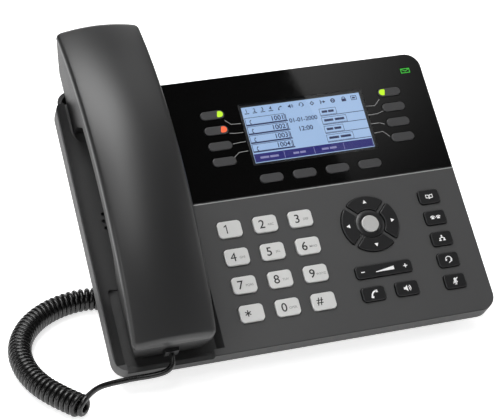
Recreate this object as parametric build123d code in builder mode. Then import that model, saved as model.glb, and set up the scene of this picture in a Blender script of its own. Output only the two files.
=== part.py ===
from build123d import *
from collections import namedtuple
from math import acos, cos, pi, radians, sin, sqrt, tan
import os

os.makedirs("parts", exist_ok=True)

# Desk telephone with a corded handset, in millimetres.
# Row frame: +X to the user's right, +Y away from the user, +Z up, desk at z = 0.
# Most pieces are laid out on the sloping face: u to the right from its centre line,
# v up the slope from its front edge, n outwards from its surface.

# Base: overall sizes
face_width = 223.0
face_length = 167.0
face_tilt = 39.4
front_edge_height = 16.0
front_edge_y = -69.04
corner_radius = 9.0
wall = 2.5
rim_depth = 11.0
body_depth = 30.0
lower_reveal = 1.5
lower_draft = 18.0
front_flat_height = 3.0
hump_overlap = 5.0

# Rear hump that carries the sockets, its y measured from the face's front edge
hump_rear_y = 139.0
hump_floor_z = 60.0
hump_left = -66.0
hump_right = 66.0

# Cradle
cradle_u = -80.5
cradle_right = -49.6
cradle_floor = 9.0
cradle_slope_radius = 20.0
cradle_slope_u = -94.0
cradle_front = 4.0
cradle_skin = 2.0
front_scoop = 4.0
front_scoop_back = 10.0
pocket_clearance = 0.5
seat_gap = 0.3
ear_pocket_lead = 6.5
ear_pocket_corner = 9.0
mouth_pocket_front = 5.0
mouth_pocket_back = 50.0
mouth_pocket_corner = 2.0
ledge_width = 54.0
ledge_reach = 9.0
ledge_overlap = 29.0
grille_v = 91.7
grille_hole_radius = 1.2
grille_pitch = 4.2
grille_rings = 4

# Glossy panel and display
fascia_front = 89.8
fascia_thickness = 1.5
fascia_chamfer = 0.6
display_u = 31.93
display_v = 128.17
display_width = 73.4
display_height = 36.2
lens_border = 1.8
module_border = 3.4
module_corner = 1.0
lamp_u = 101.1
lamp_v = 156.1
lamp_width = 6.3
lamp_height = 3.5

# Keys
key_clearance = 0.3
key_travel = 1.0
key_proud = 1.2
soft_key_proud = 0.8
key_edge = 0.5
flat_key_radius = 2.0
flange = 0.8
flange_gap = 0.4
flange_bottom = 5.6
dial_key_width = 14.0
dial_key_height = 10.0
dial_key_radius = 2.4
dial_left = -30.4
dial_bottom = 20.7
dial_pitch_u = 21.02
dial_pitch_v = 17.0
line_key_width = 14.0
line_key_height = 5.2
line_key_radius = 2.55
line_left = -23.0
line_right = 86.86
line_top = 143.45
line_pitch = 10.0
soft_key_v = 99.4
soft_key_pitch = 20.08
nav_u = 51.5
nav_v = 62.2
nav_outer = 17.1
nav_inner = 9.0
nav_bar = 2.4
segment_corner = 0.8
ok_radius = 5.1
rocker_v = 33.5
rocker_width = 34.0
rocker_height = 7.4
rocker_drop = 1.1
call_key_width = 13.8
call_key_height = 8.3
call_key_v = 20.0
send_key_u = 41.5
speaker_key_u = 61.8
side_key_width = 12.7
side_key_height = 8.5
side_key_u = 91.06
side_key_top = 73.1
side_key_pitch = 13.38

# Inside
mat_thickness = 1.1
mat_top = flange_bottom + key_travel + seat_gap
mat_opening_gap = 0.5
board_thickness = 1.6
board_left = -44.0
board_right = 104.0
board_front = 6.0
board_back = 161.0
post_radius = 2.5
post_sites = [(-28.0, 84.0), (70.0, 94.0), (20.0, 94.0)]
screw_sites = [(-99.0, 40.0), (-99.0, 120.0), (76.5, 26.0), (98.0, 92.0), (-40.0, 157.0)]
screw_radius = 1.25
screw_hole_clearance = 0.05
screw_head_radius = 2.9
screw_head_height = 2.2
screw_length = 11.0
screw_tip_gap = 0.3
boss_radius = 3.2
boss_meeting = 18.0
boss_overlap = 0.5
lower_boss_radius = 4.6
screw_seat = 21.0
speaker_radius = 18.0
speaker_rim = 3.0
magnet_radius = 11.0
speaker_depth = 10.5
hook_v = 152.0
hook_width = 8.0
hook_height = 5.0
hook_clearance = 0.3
hook_length = 16.0
hook_travel = 4.0

# Handset
handset_width = 47.4
handset_arc_v = 98.0
handset_edge_n = 37.5
handset_edge_radius = 241.0
handset_crown = 4.5
handset_parting_radius = 237.5
handset_grip_radius = 228.0
handset_wall = 2.2
handset_low_end = 3.0
handset_high_end = 201.5
handset_low_corner = 6.0
handset_high_corner = 9.0
handset_grip_front = 58.0
handset_grip_back = 136.0
seat_bottom = -cradle_floor + seat_gap
mouth_front = 7.0
ear_front = 147.5
# Side profile below the arch, as (v, n): round the mouth end, then round the ear end
mouth_profile = [
    (48.0, 8.0),
    (41.0, seat_bottom),
    (12.0, seat_bottom),
    (mouth_front, seat_bottom + 5.0),
    (4.5, 15.0),
    (1.0, 30.0),
    (1.0, 70.0),
]
ear_profile = [
    (205.5, 70.0),
    (205.5, 27.0),
    (199.5, 11.0),
    (197.5, 8.0),
    (160.0, seat_bottom),
    (ear_front, seat_bottom),
    (143.0, 8.0),
]
capsule_v = 158.5
receiver_radius = 10.0
receiver_height = 5.5
receiver_seat_n = -2.0
microphone_v = 24.0
microphone_radius = 4.9
microphone_height = 4.0
sound_hole_radius = 1.2
sound_hole_pitch = 4.0
sound_holes_v = 155.5

# Sockets: mouth sizes and bodies
lan_mouth = (11.8, 8.0)
lan_body = (16.0, 13.0, 18.0)
lan_depth = 12.5
handset_mouth = (7.9, 6.7)
handset_body = (11.0, 10.0, 13.0)
handset_socket_depth = 10.0
power_body = (10.0, 11.0, 14.0)
power_bore = 3.1
power_pin = 1.0
power_depth = 10.0
socket_z = 74.0
lan_x = [18.0, 38.0]
headset_x = -28.0
power_x = -5.0
socket_clearance = 0.2
base_socket_u = -86.0
base_socket_v = 60.0

# Plugs and cord
plug_width = 7.6
plug_height = 6.4
plug_length = 12.0
plug_out = 3.5
wire_diameter = 3.2
coil_diameter = 13.5
arc_share = 0.45
handset_plug_n = 4.0
handset_plug_end = 4.5

# Stand
stand_front = 38.0
stand_back = 102.0
stand_half_width = 70.0
stand_wall = 3.0
stand_foot_y = 121.0
stand_foot_depth = 13.0
stand_tab = (14.0, 3.0, 4.0)
stand_tab_u = 40.0
stand_tab_v = 84.0
cable_arch_width = 40.0
cable_arch_top = 19.0
cable_arch_corner = 2.5

# Rubber feet
foot_radius = 4.5
foot_recess = 0.5
front_foot_y = 26.6
foot_x = 80.0
rear_foot_x = 60.0

face = Plane(
    origin=(0, front_edge_y, front_edge_height),
    x_dir=(1, 0, 0),
    z_dir=(0, -sin(radians(face_tilt)), cos(radians(face_tilt))),
)
outwards = Axis(face.origin, face.z_dir)


def at(u, v, n, turn=0):
    """Plane parallel to the face, centred on a point in face coordinates and turned about n."""
    x_dir = face.x_dir * cos(radians(turn)) + face.y_dir * sin(radians(turn))
    return Plane(origin=face.from_local_coords((u, v, n)), x_dir=x_dir, z_dir=face.z_dir)


def along(u):
    """Plane whose x is v and whose y is n, facing +u."""
    return Plane(origin=face.from_local_coords((u, 0, 0)), x_dir=face.y_dir, z_dir=(1, 0, 0))


def across(v):
    """Plane whose x is u and whose y is n, facing the front edge."""
    return Plane(origin=face.from_local_coords((0, v, 0)), x_dir=(1, 0, 0), z_dir=-face.y_dir)


def upright(x):
    """Plane whose x is the distance behind the front edge and whose y is the height."""
    return Plane(origin=(x, front_edge_y, 0), x_dir=(0, 1, 0), z_dir=(1, 0, 0))


def slope_at_height(z, n):
    """Distance behind the front edge where the surface at n crosses a height."""
    tilt = radians(face_tilt)
    v = (z - front_edge_height - n * cos(tilt)) / sin(tilt)
    return v * cos(tilt) - n * sin(tilt)


def slope_at_distance(y, n):
    """Height of the surface at n at a distance behind the front edge."""
    tilt = radians(face_tilt)
    v = (y + n * sin(tilt)) / cos(tilt)
    return front_edge_height + v * sin(tilt) + n * cos(tilt)


def finish(piece, name):
    """Name a finished piece and write it."""
    piece.part.label = name
    export_step(piece.part, f"parts/{name}.step")


# ---- Keys: one table says where each is and what outline it has ----

Key = namedtuple("Key", "name kind u v width height radius proud turn")


def rounded_key(name, u, v, width, height, radius, proud):
    """A key with a rounded rectangular outline."""
    return Key(name, "rounded", u, v, width, height, radius, proud, 0)


dial_names = ["1", "2", "3", "4", "5", "6", "7", "8", "9", "star", "0", "hash"]
keys = []
for place, dial_name in enumerate(dial_names):
    row, column = divmod(place, 3)
    keys.append(
        rounded_key(
            f"dial_key_{dial_name}",
            dial_left + column * dial_pitch_u,
            dial_bottom + (3 - row) * dial_pitch_v,
            dial_key_width,
            dial_key_height,
            dial_key_radius,
            key_proud,
        )
    )
for side, side_u in (("left", line_left), ("right", line_right)):
    for row in range(4):
        keys.append(
            rounded_key(
                f"line_key_{side}_{row + 1}",
                side_u,
                line_top - row * line_pitch,
                line_key_width,
                line_key_height,
                line_key_radius,
                soft_key_proud,
            )
        )
for column in range(4):
    keys.append(
        rounded_key(
            f"soft_key_{column + 1}",
            display_u + (column - 1.5) * soft_key_pitch,
            soft_key_v,
            line_key_width,
            line_key_height,
            line_key_radius,
            soft_key_proud,
        )
    )
for place, heading in enumerate(["right", "up", "left", "down"]):
    keys.append(Key(f"nav_key_{heading}", "segment", nav_u, nav_v, 0, 0, 0, key_proud, 90 * place))
keys.append(Key("ok_key", "round", nav_u, nav_v, 0, 0, ok_radius, key_proud, 0))
for call_name, call_u in (("send_key", send_key_u), ("speaker_key", speaker_key_u)):
    keys.append(
        rounded_key(
            call_name, call_u, call_key_v, call_key_width, call_key_height, flat_key_radius, key_proud
        )
    )
side_names = ["phonebook_key", "transfer_key", "conference_key", "headset_key", "mute_key"]
for row, side_name in enumerate(side_names):
    side_v = side_key_top - row * side_key_pitch
    keys.append(
        rounded_key(
            side_name, side_key_u, side_v, side_key_width, side_key_height, flat_key_radius, key_proud
        )
    )
keys.append(
    rounded_key(
        "volume_rocker", nav_u, rocker_v, rocker_width, rocker_height, flat_key_radius, key_proud
    )
)


def draw_key(key, grow):
    """Draw a key's outline, grown all round, in the sketch that is being built."""
    if key.kind == "round":
        Circle(key.radius + grow)
    elif key.kind == "segment":
        Circle(nav_outer + grow)
        Circle(nav_inner - grow, mode=Mode.SUBTRACT)
        apex = (nav_bar / 2 - grow) * sqrt(2)
        reach = 2 * nav_outer
        wedge = [(apex, 0), (apex + reach, -reach), (apex + reach, reach)]
        Polygon(*wedge, align=None, mode=Mode.INTERSECT)
        fillet(vertices(), radius=segment_corner + grow)
    else:
        RectangleRounded(key.width + 2 * grow, key.height + 2 * grow, key.radius + grow)


def plate_bottom(v):
    """Depth of the underside of the housing's top plate."""
    return wall + fascia_thickness if v > fascia_front else wall


for key in keys:
    drop = rocker_drop if key.name == "volume_rocker" else flange_gap
    with BuildPart() as key_piece:
        with BuildSketch(at(key.u, key.v, -flange_bottom, key.turn)):
            draw_key(key, 0)
        extrude(amount=flange_bottom + key.proud)
        fillet(key_piece.faces().sort_by(outwards)[-1].edges(), radius=key_edge)
        with BuildSketch(at(key.u, key.v, -flange_bottom, key.turn)):
            draw_key(key, flange if key.kind != "segment" else flange / 2)
        extrude(amount=flange_bottom - plate_bottom(key.v) - drop)
    finish(key_piece, key.name)


# ---- Upper housing, with the cradle pressed into its left side ----


def face_outline(inset):
    """Outline of the face, inset all round, centred on the sketch's own origin."""
    RectangleRounded(face_width - 2 * inset, face_length - 2 * inset, corner_radius - inset)


def pocket(front, back, corner):
    """Cut a rounded pocket for the handset into the cradle."""
    middle = (front + back) / 2
    with BuildSketch(at(cradle_u, middle, -cradle_floor)) as outline:
        RectangleRounded(handset_width + 2 * pocket_clearance, back - front, corner)
    extrude(outline.sketch, amount=cradle_floor + 1, mode=Mode.SUBTRACT)


slope_drop = cradle_slope_radius - cradle_floor
slope_rim_u = cradle_slope_u - sqrt(cradle_slope_radius**2 - slope_drop**2)
slope_middle = acos(slope_drop / cradle_slope_radius) / 2
slope_middle_u = cradle_slope_u - cradle_slope_radius * sin(slope_middle)
slope_middle_n = slope_drop - cradle_slope_radius * cos(slope_middle)
middle_v = face_length / 2

with BuildPart() as upper_housing:
    with BuildSketch(at(0, middle_v, -rim_depth)):
        face_outline(0)
    extrude(amount=rim_depth)
    with BuildSketch(at(0, middle_v, -rim_depth)):
        face_outline(wall)
    extrude(amount=rim_depth - wall - fascia_thickness, mode=Mode.SUBTRACT)
    # The plate is thinner in front of the glossy panel
    with BuildSketch(at(0, middle_v, -wall - fascia_thickness)):
        face_outline(wall)
        with Locations((0, fascia_front - face_length)):
            Rectangle(face_width, face_length, mode=Mode.INTERSECT)
    extrude(amount=fascia_thickness, mode=Mode.SUBTRACT)
    # Solid bed for the cradle
    with BuildSketch(at(0, middle_v, -rim_depth)):
        face_outline(wall / 2)
        with Locations((cradle_right + wall - face_width / 2, 0)):
            Rectangle(face_width, face_length, mode=Mode.INTERSECT)
    extrude(amount=rim_depth - wall / 2)
    # Channel: concave slope on the left, steep wall on the right
    with BuildSketch(across(face_length + 1)):
        with BuildLine():
            ThreePointArc(
                (slope_rim_u, 0),
                (slope_middle_u, slope_middle_n),
                (cradle_slope_u, -cradle_floor),
            )
            Polyline(
                (cradle_slope_u, -cradle_floor),
                (cradle_right - wall, -cradle_floor),
                (cradle_right, 1),
                (slope_rim_u, 1),
                (slope_rim_u, 0),
            )
        make_face()
    extrude(amount=face_length + 1 - cradle_front, mode=Mode.SUBTRACT)
    # Front lip, scooped low for the cord
    with BuildSketch(along(cradle_u)):
        Polygon(
            (-1, 1),
            (-1, -front_scoop),
            (wall, -front_scoop),
            (front_scoop_back, -cradle_floor),
            (front_scoop_back, 1),
            align=None,
        )
    extrude(amount=handset_width / 2 + pocket_clearance, both=True, mode=Mode.SUBTRACT)
    pocket(mouth_pocket_front, mouth_pocket_back, mouth_pocket_corner)
    pocket(ear_front - ear_pocket_lead, face_length + 20, ear_pocket_corner)
    # Recess for the glossy panel
    with BuildSketch(at(0, middle_v, -fascia_thickness)):
        face_outline(0)
        with Locations((cradle_right + face_width / 2, fascia_front)):
            Rectangle(face_width, face_length, mode=Mode.INTERSECT)
    extrude(amount=fascia_thickness + 1, mode=Mode.SUBTRACT)
    # Openings for the keys, the display module, the lamp, the hook plunger and the speaker
    for key in keys:
        with BuildSketch(at(key.u, key.v, -rim_depth + 1, key.turn)):
            draw_key(key, key_clearance)
        extrude(amount=rim_depth, mode=Mode.SUBTRACT)
    with BuildSketch(at(display_u, display_v, -rim_depth + 1)):
        RectangleRounded(
            display_width + 2 * module_border + 2 * socket_clearance,
            display_height + 2 * module_border + 2 * socket_clearance,
            module_corner,
        )
    extrude(amount=rim_depth, mode=Mode.SUBTRACT)
    with BuildSketch(at(lamp_u, lamp_v, -rim_depth + 1)):
        Rectangle(lamp_width + 2 * socket_clearance, lamp_height + 2 * socket_clearance)
    extrude(amount=rim_depth, mode=Mode.SUBTRACT)
    with BuildSketch(at(cradle_u, hook_v, -rim_depth - 4)):
        Rectangle(hook_width + 2 * hook_clearance, hook_height + 2 * hook_clearance)
    extrude(amount=rim_depth, mode=Mode.SUBTRACT)
    with BuildSketch(at(cradle_u, grille_v, -rim_depth - 1)):
        Circle(grille_hole_radius)
        for ring in range(1, grille_rings + 1):
            with PolarLocations(ring * grille_pitch, 6 * ring):
                Circle(grille_hole_radius)
    extrude(amount=rim_depth, mode=Mode.SUBTRACT)
    # Screw bosses under the plate and under the cradle
    for site_u, site_v in screw_sites:
        boss_top = cradle_floor + cradle_skin / 2 if site_u < cradle_right else wall - boss_overlap
        with BuildSketch(at(site_u, site_v, -boss_meeting)):
            Circle(boss_radius)
        extrude(amount=boss_meeting - boss_top)
        with BuildSketch(at(site_u, site_v, -boss_meeting)):
            Circle(screw_radius + screw_hole_clearance)
        extrude(amount=screw_length - (screw_seat - boss_meeting) + screw_tip_gap, mode=Mode.SUBTRACT)
finish(upper_housing, "upper_housing")


# ---- Glossy panel, display and lamp ----

with BuildPart() as fascia_panel:
    with BuildSketch(at(0, middle_v, -fascia_thickness)):
        face_outline(0)
        with Locations((cradle_right + face_width / 2, fascia_front)):
            Rectangle(face_width, face_length, mode=Mode.INTERSECT)
    extrude(amount=fascia_thickness)
    top_edges = fascia_panel.faces().sort_by(outwards)[-1].edges()
    chamfer(top_edges.sort_by(Axis(face.origin, face.y_dir))[0], length=fascia_chamfer)
    for key in keys:
        if key.v > fascia_front:
            with BuildSketch(at(key.u, key.v, -fascia_thickness)):
                draw_key(key, key_clearance)
            extrude(amount=fascia_thickness, mode=Mode.SUBTRACT)
    with BuildSketch(at(display_u, display_v, -fascia_thickness)):
        RectangleRounded(display_width + 2 * lens_border, display_height + 2 * lens_border, module_corner)
    extrude(amount=fascia_thickness, mode=Mode.SUBTRACT)
    with BuildSketch(at(lamp_u, lamp_v, -fascia_thickness)):
        Rectangle(lamp_width + 2 * socket_clearance, lamp_height + 2 * socket_clearance)
    extrude(amount=fascia_thickness, mode=Mode.SUBTRACT)
finish(fascia_panel, "fascia_panel")

with BuildPart() as display_lens:
    with BuildSketch(at(display_u, display_v, -fascia_thickness)):
        RectangleRounded(display_width + 2 * lens_border, display_height + 2 * lens_border, module_corner)
    extrude(amount=fascia_thickness)
finish(display_lens, "display_lens")

with BuildPart() as lcd_module:
    with BuildSketch(at(display_u, display_v, -mat_top - mat_thickness)):
        RectangleRounded(display_width + 2 * module_border, display_height + 2 * module_border, module_corner)
    extrude(amount=mat_top + mat_thickness - fascia_thickness)
finish(lcd_module, "lcd_module")

with BuildPart() as message_lamp:
    with BuildSketch(at(lamp_u, lamp_v, -mat_top - mat_thickness)):
        Rectangle(lamp_width, lamp_height)
    extrude(amount=mat_top + mat_thickness)
finish(message_lamp, "message_lamp")


# ---- Key mat and main board ----


def board_outline():
    """Outline of the main board and the key mat, centred between their edges."""
    Rectangle(board_right - board_left, board_back - board_front)


board_u = (board_left + board_right) / 2
board_v = (board_front + board_back) / 2
board_top = mat_top + mat_thickness

with BuildPart() as keypad_mat:
    with BuildSketch(at(board_u, board_v, -board_top)):
        board_outline()
    extrude(amount=mat_thickness)
    with BuildSketch(at(display_u, display_v, -board_top)):
        Rectangle(
            display_width + 2 * module_border + 2 * mat_opening_gap,
            display_height + 2 * module_border + 2 * mat_opening_gap,
        )
    extrude(amount=mat_thickness, mode=Mode.SUBTRACT)
    with BuildSketch(at(lamp_u, lamp_v, -board_top)):
        Rectangle(lamp_width + 2 * mat_opening_gap, lamp_height + 2 * mat_opening_gap)
    extrude(amount=mat_thickness, mode=Mode.SUBTRACT)
    for site_u, site_v in screw_sites:
        if site_u > cradle_right:
            with BuildSketch(at(site_u, site_v, -board_top)):
                Circle(boss_radius + key_clearance)
            extrude(amount=mat_thickness, mode=Mode.SUBTRACT)
finish(keypad_mat, "keypad_mat")

with BuildPart() as main_board:
    with BuildSketch(at(board_u, board_v, -board_top - board_thickness)):
        board_outline()
    extrude(amount=board_thickness)
    for site_u, site_v in screw_sites:
        if site_u > cradle_right:
            with BuildSketch(at(site_u, site_v, -board_top - board_thickness)):
                Circle(boss_radius + key_clearance)
            extrude(amount=board_thickness, mode=Mode.SUBTRACT)
finish(main_board, "main_board")


# ---- Lower housing: a drafted tray, a ledge behind the ear pocket and the socket hump ----


def drafted_block(u, v, width, length, corner, depth):
    """Block from the rim down to a depth whose walls lean inwards by the draft."""
    drift = tan(radians(lower_draft)) * (depth - rim_depth)
    with BuildSketch(at(u, v, -rim_depth)) as top:
        RectangleRounded(width, length, corner)
    with BuildSketch(at(u, v, -depth)) as bottom:
        RectangleRounded(width - 2 * drift, length - 2 * drift, corner)
    loft([top.sketch, bottom.sketch])


def tray(inset, depth):
    """Drafted tray with a ledge behind the ear pocket, inset from the lower housing's outside."""
    margin = 2 * (lower_reveal + inset)
    corner = corner_radius - lower_reveal - inset
    drafted_block(0, middle_v, face_width - margin, face_length - margin, corner, depth)
    ledge_length = ledge_overlap + ledge_reach - 2 * inset
    ledge_v = face_length + (ledge_reach - ledge_overlap) / 2
    drafted_block(cradle_u, ledge_v, ledge_width - 2 * inset, ledge_length, corner, depth)


def hump(inset, overlap):
    """Wedge behind the tray whose rear wall is upright."""
    near = -body_depth + overlap
    floor_z = hump_floor_z + inset
    rear_y = hump_rear_y - inset
    with BuildSketch(upright(hump_left + inset)) as wedge:
        Polygon(
            (slope_at_height(floor_z, near), floor_z),
            (rear_y, floor_z),
            (rear_y, slope_at_distance(rear_y, near)),
            align=None,
        )
    extrude(wedge.sketch, amount=hump_right - hump_left - 2 * inset)


def trim_below(height):
    """Cut everything lower than a height."""
    with BuildSketch(Plane.XY.offset(height)) as floor:
        Rectangle(2 * face_width, 4 * face_length)
    extrude(floor.sketch, amount=-2 * body_depth, mode=Mode.SUBTRACT)


def socket_cut(body, x):
    """Cut the hole for a socket's body through the hump's rear wall."""
    with BuildSketch(Plane.XZ.offset(-front_edge_y - hump_rear_y - 1)) as mouth:
        with Locations((x, socket_z)):
            Rectangle(body[0] + 2 * socket_clearance, body[1] + 2 * socket_clearance)
    extrude(mouth.sketch, amount=wall + 2, mode=Mode.SUBTRACT)


with BuildPart() as lower_cavity:
    tray(wall, body_depth - wall)
    hump(wall, 2 * hump_overlap)
    trim_below(front_flat_height + wall)

with BuildPart() as lower_housing:
    tray(0, body_depth)
    hump(0, hump_overlap)
    trim_below(front_flat_height)
    add(lower_cavity.part, mode=Mode.SUBTRACT)
    for site_u, site_v in screw_sites:
        with BuildSketch(at(site_u, site_v, -body_depth + wall / 2)):
            Circle(lower_boss_radius)
        extrude(amount=body_depth - wall / 2 - boss_meeting)
        with BuildSketch(at(site_u, site_v, -body_depth - 1)):
            Circle(screw_head_radius + key_clearance)
        extrude(amount=body_depth + 1 - screw_seat, mode=Mode.SUBTRACT)
        with BuildSketch(at(site_u, site_v, -body_depth)):
            Circle(screw_radius + screw_hole_clearance)
        extrude(amount=body_depth, mode=Mode.SUBTRACT)
    for site_u, site_v in post_sites:
        with BuildSketch(at(site_u, site_v, -body_depth + wall / 2)):
            Circle(post_radius)
        extrude(amount=body_depth - wall / 2 - board_top - board_thickness)
    for x in lan_x:
        socket_cut(lan_body, x)
    socket_cut(handset_body, headset_x)
    socket_cut(power_body, power_x)
    with BuildSketch(at(base_socket_u, base_socket_v, -body_depth - 1)):
        Rectangle(handset_body[0] + 2 * socket_clearance, handset_body[1] + 2 * socket_clearance)
    extrude(amount=wall + 2, mode=Mode.SUBTRACT)
    for side in (-1, 1):
        with BuildSketch(at(side * stand_tab_u, stand_tab_v, -body_depth - 1)):
            Rectangle(stand_tab[0] + 2 * key_clearance, stand_tab[1] + 2 * key_clearance)
        extrude(amount=wall + 2, mode=Mode.SUBTRACT)
finish(lower_housing, "lower_housing")


# ---- Sockets on the rear wall and the handset socket under the base ----


def rear_plane(inset):
    """Upright plane facing +Y, inset from the hump's rear wall; its x runs to -X."""
    origin = (0, front_edge_y + hump_rear_y - inset, socket_z)
    return Plane(origin=origin, x_dir=(-1, 0, 0), z_dir=(0, 1, 0))


with BuildPart() as sockets:
    with BuildSketch(rear_plane(0)):
        with Locations(*[(-x, 0) for x in lan_x]):
            Rectangle(lan_body[0], lan_body[1])
    extrude(amount=-lan_body[2])
    with BuildSketch(rear_plane(0)):
        with Locations((-headset_x, 0)):
            Rectangle(handset_body[0], handset_body[1])
    extrude(amount=-handset_body[2])
    with BuildSketch(rear_plane(0)):
        with Locations((-power_x, 0)):
            Rectangle(power_body[0], power_body[1])
    extrude(amount=-power_body[2])
    with BuildSketch(rear_plane(0)):
        with Locations(*[(-x, 0) for x in lan_x]):
            Rectangle(lan_mouth[0], lan_mouth[1])
    extrude(amount=-lan_depth, mode=Mode.SUBTRACT)
    with BuildSketch(rear_plane(0)):
        with Locations((-headset_x, 0)):
            Rectangle(handset_mouth[0], handset_mouth[1])
    extrude(amount=-handset_socket_depth, mode=Mode.SUBTRACT)
    with BuildSketch(rear_plane(0)):
        with Locations((-power_x, 0)):
            Circle(power_bore)
            Circle(power_pin, mode=Mode.SUBTRACT)
    extrude(amount=-power_depth, mode=Mode.SUBTRACT)
    with BuildSketch(at(base_socket_u, base_socket_v, -body_depth)):
        Rectangle(handset_body[0], handset_body[1])
    extrude(amount=handset_body[2])
    with BuildSketch(at(base_socket_u, base_socket_v, -body_depth)):
        Rectangle(handset_mouth[0], handset_mouth[1])
    extrude(amount=handset_socket_depth, mode=Mode.SUBTRACT)
finish(sockets, "sockets")


# ---- Speaker, hook plunger, screws ----

with BuildPart() as handsfree_speaker:
    with BuildSketch(at(cradle_u, grille_v, -rim_depth)):
        Circle(speaker_radius)
    extrude(amount=-speaker_rim)
    with BuildSketch(at(cradle_u, grille_v, -rim_depth - speaker_rim)):
        Circle(magnet_radius)
    extrude(amount=-(speaker_depth - speaker_rim))
finish(handsfree_speaker, "handsfree_speaker")

hook_top = cradle_floor - seat_gap / 3
with BuildPart() as hook_switch:
    with BuildSketch(at(cradle_u, hook_v, -hook_top)):
        Rectangle(hook_width, hook_height)
    extrude(amount=-hook_length)
    with BuildSketch(at(cradle_u, hook_v, -hook_top - hook_length)):
        Rectangle(hook_width + 2 * flange, hook_height + 2 * flange)
    extrude(amount=hook_top + hook_length - rim_depth - hook_travel - seat_gap)
finish(hook_switch, "hook_switch")

with BuildPart() as housing_screws:
    for site_u, site_v in screw_sites:
        with BuildSketch(at(site_u, site_v, -screw_seat)):
            Circle(screw_head_radius)
        extrude(amount=-screw_head_height)
        with BuildSketch(at(site_u, site_v, -screw_seat)):
            Circle(screw_radius)
        extrude(amount=screw_length)
finish(housing_screws, "housing_screws")


# ---- Handset: one arched form, split along its parting line into two shells ----

arc_centre_n = handset_edge_n - handset_edge_radius
arc_centre = face.from_local_coords((cradle_u, handset_arc_v, arc_centre_n))


def on_arc(radius, v):
    """Point of the handset's side profile at a radius of its arch and a distance v."""
    return (v, arc_centre_n + sqrt(radius**2 - (v - handset_arc_v) ** 2))


def handset_form(shrink):
    """The handset's outside, or the inside of its walls when shrunk."""
    crown = handset_edge_radius + handset_crown - shrink
    half = handset_width / 2 - shrink
    grip_front = on_arc(handset_grip_radius, handset_grip_front)
    grip_back = on_arc(handset_grip_radius, handset_grip_back)
    with BuildSketch(along(cradle_u)) as side:
        with BuildLine():
            Polyline(grip_front, *mouth_profile, *ear_profile, grip_back)
            ThreePointArc(grip_back, on_arc(handset_grip_radius, handset_arc_v), grip_front)
        make_face()
        if shrink:
            offset(amount=-shrink)
    # The crowned section is twice as wide as the handset, so its arch is four crowns high
    with BuildSketch(Plane(origin=arc_centre, x_dir=(1, 0, 0), z_dir=face.y_dir)) as section:
        with BuildLine():
            Polyline(
                (2 * half, crown - 4 * handset_crown),
                (2 * half, crown / 2),
                (-2 * half, crown / 2),
                (-2 * half, crown - 4 * handset_crown),
            )
            ThreePointArc(
                (-2 * half, crown - 4 * handset_crown),
                (0, crown),
                (2 * half, crown - 4 * handset_crown),
            )
        make_face()
    middle = (handset_low_end + handset_high_end) / 2
    length = handset_high_end - handset_low_end - 2 * shrink
    with BuildSketch(at(cradle_u, middle, 0)) as plan:
        Rectangle(2 * half, length)
        fillet(plan.vertices().group_by(Axis.Y)[0], radius=handset_low_corner)
        fillet(plan.vertices().group_by(Axis.Y)[-1], radius=handset_high_corner)
    with BuildPart() as form:
        extrude(side.sketch, amount=handset_width, both=True)
        extrude(plan.sketch, amount=face_width / 2, both=True, mode=Mode.INTERSECT)
        revolve(section.sketch, axis=Axis(arc_centre, (1, 0, 0)), mode=Mode.INTERSECT)
    return form.part


handset_outside = handset_form(0)
handset_inside = handset_form(handset_wall)

with BuildPart() as parting_drum:
    with BuildSketch(Plane(origin=arc_centre, x_dir=face.y_dir, z_dir=(1, 0, 0))):
        Circle(handset_parting_radius)
    extrude(amount=handset_width, both=True)

with BuildPart() as handset_outer_shell:
    add(handset_outside)
    add(handset_inside, mode=Mode.SUBTRACT)
    add(parting_drum.part, mode=Mode.SUBTRACT)
finish(handset_outer_shell, "handset_outer_shell")

with BuildPart() as handset_inner_shell:
    add(handset_outside)
    add(handset_inside, mode=Mode.SUBTRACT)
    add(parting_drum.part, mode=Mode.INTERSECT)
    # Seats for the receiver and the microphone, reaching the floor of the shell
    with BuildSketch(at(cradle_u, capsule_v, seat_bottom + handset_wall / 2)):
        Circle(receiver_radius)
        Circle(receiver_radius - handset_wall, mode=Mode.SUBTRACT)
    extrude(amount=receiver_seat_n - seat_bottom - handset_wall / 2)
    # Sound holes, and the opening for the plug in the lower end
    with BuildSketch(at(cradle_u, sound_holes_v, seat_bottom - 1)):
        Circle(sound_hole_radius)
        with PolarLocations(sound_hole_pitch, 6):
            Circle(sound_hole_radius)
    extrude(amount=handset_wall + 4, mode=Mode.SUBTRACT)
    with BuildSketch(at(cradle_u, microphone_v, seat_bottom - 1)):
        Circle(sound_hole_radius)
    extrude(amount=handset_wall + 2, mode=Mode.SUBTRACT)
    with BuildSketch(across(0)):
        with Locations((cradle_u, handset_plug_n)):
            Rectangle(plug_width + 2 * socket_clearance, plug_height + 2 * socket_clearance)
    extrude(amount=-mouth_front - handset_wall - 2, mode=Mode.SUBTRACT)
finish(handset_inner_shell, "handset_inner_shell")

with BuildPart() as receiver:
    with BuildSketch(at(cradle_u, capsule_v, receiver_seat_n)):
        Circle(receiver_radius)
    extrude(amount=receiver_height)
finish(receiver, "receiver")

with BuildPart() as microphone:
    with BuildSketch(at(cradle_u, microphone_v, seat_bottom + handset_wall)):
        Circle(microphone_radius)
    extrude(amount=microphone_height)
finish(microphone, "microphone")


# ---- Plugs and the curly cord ----

with BuildPart() as handset_plug:
    with BuildSketch(across(handset_plug_end)):
        with Locations((cradle_u, handset_plug_n)):
            Rectangle(plug_width, plug_height)
    extrude(amount=-plug_length)
finish(handset_plug, "handset_plug")

with BuildPart() as base_plug:
    with BuildSketch(at(base_socket_u, base_socket_v, -body_depth - plug_out)):
        Rectangle(plug_width, plug_height)
    extrude(amount=plug_length)
finish(base_plug, "base_plug")


def behind(point):
    """Move a route's point from the face's front edge to the row frame."""
    return Vector(point[0], point[1] + front_edge_y, point[2])


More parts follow.
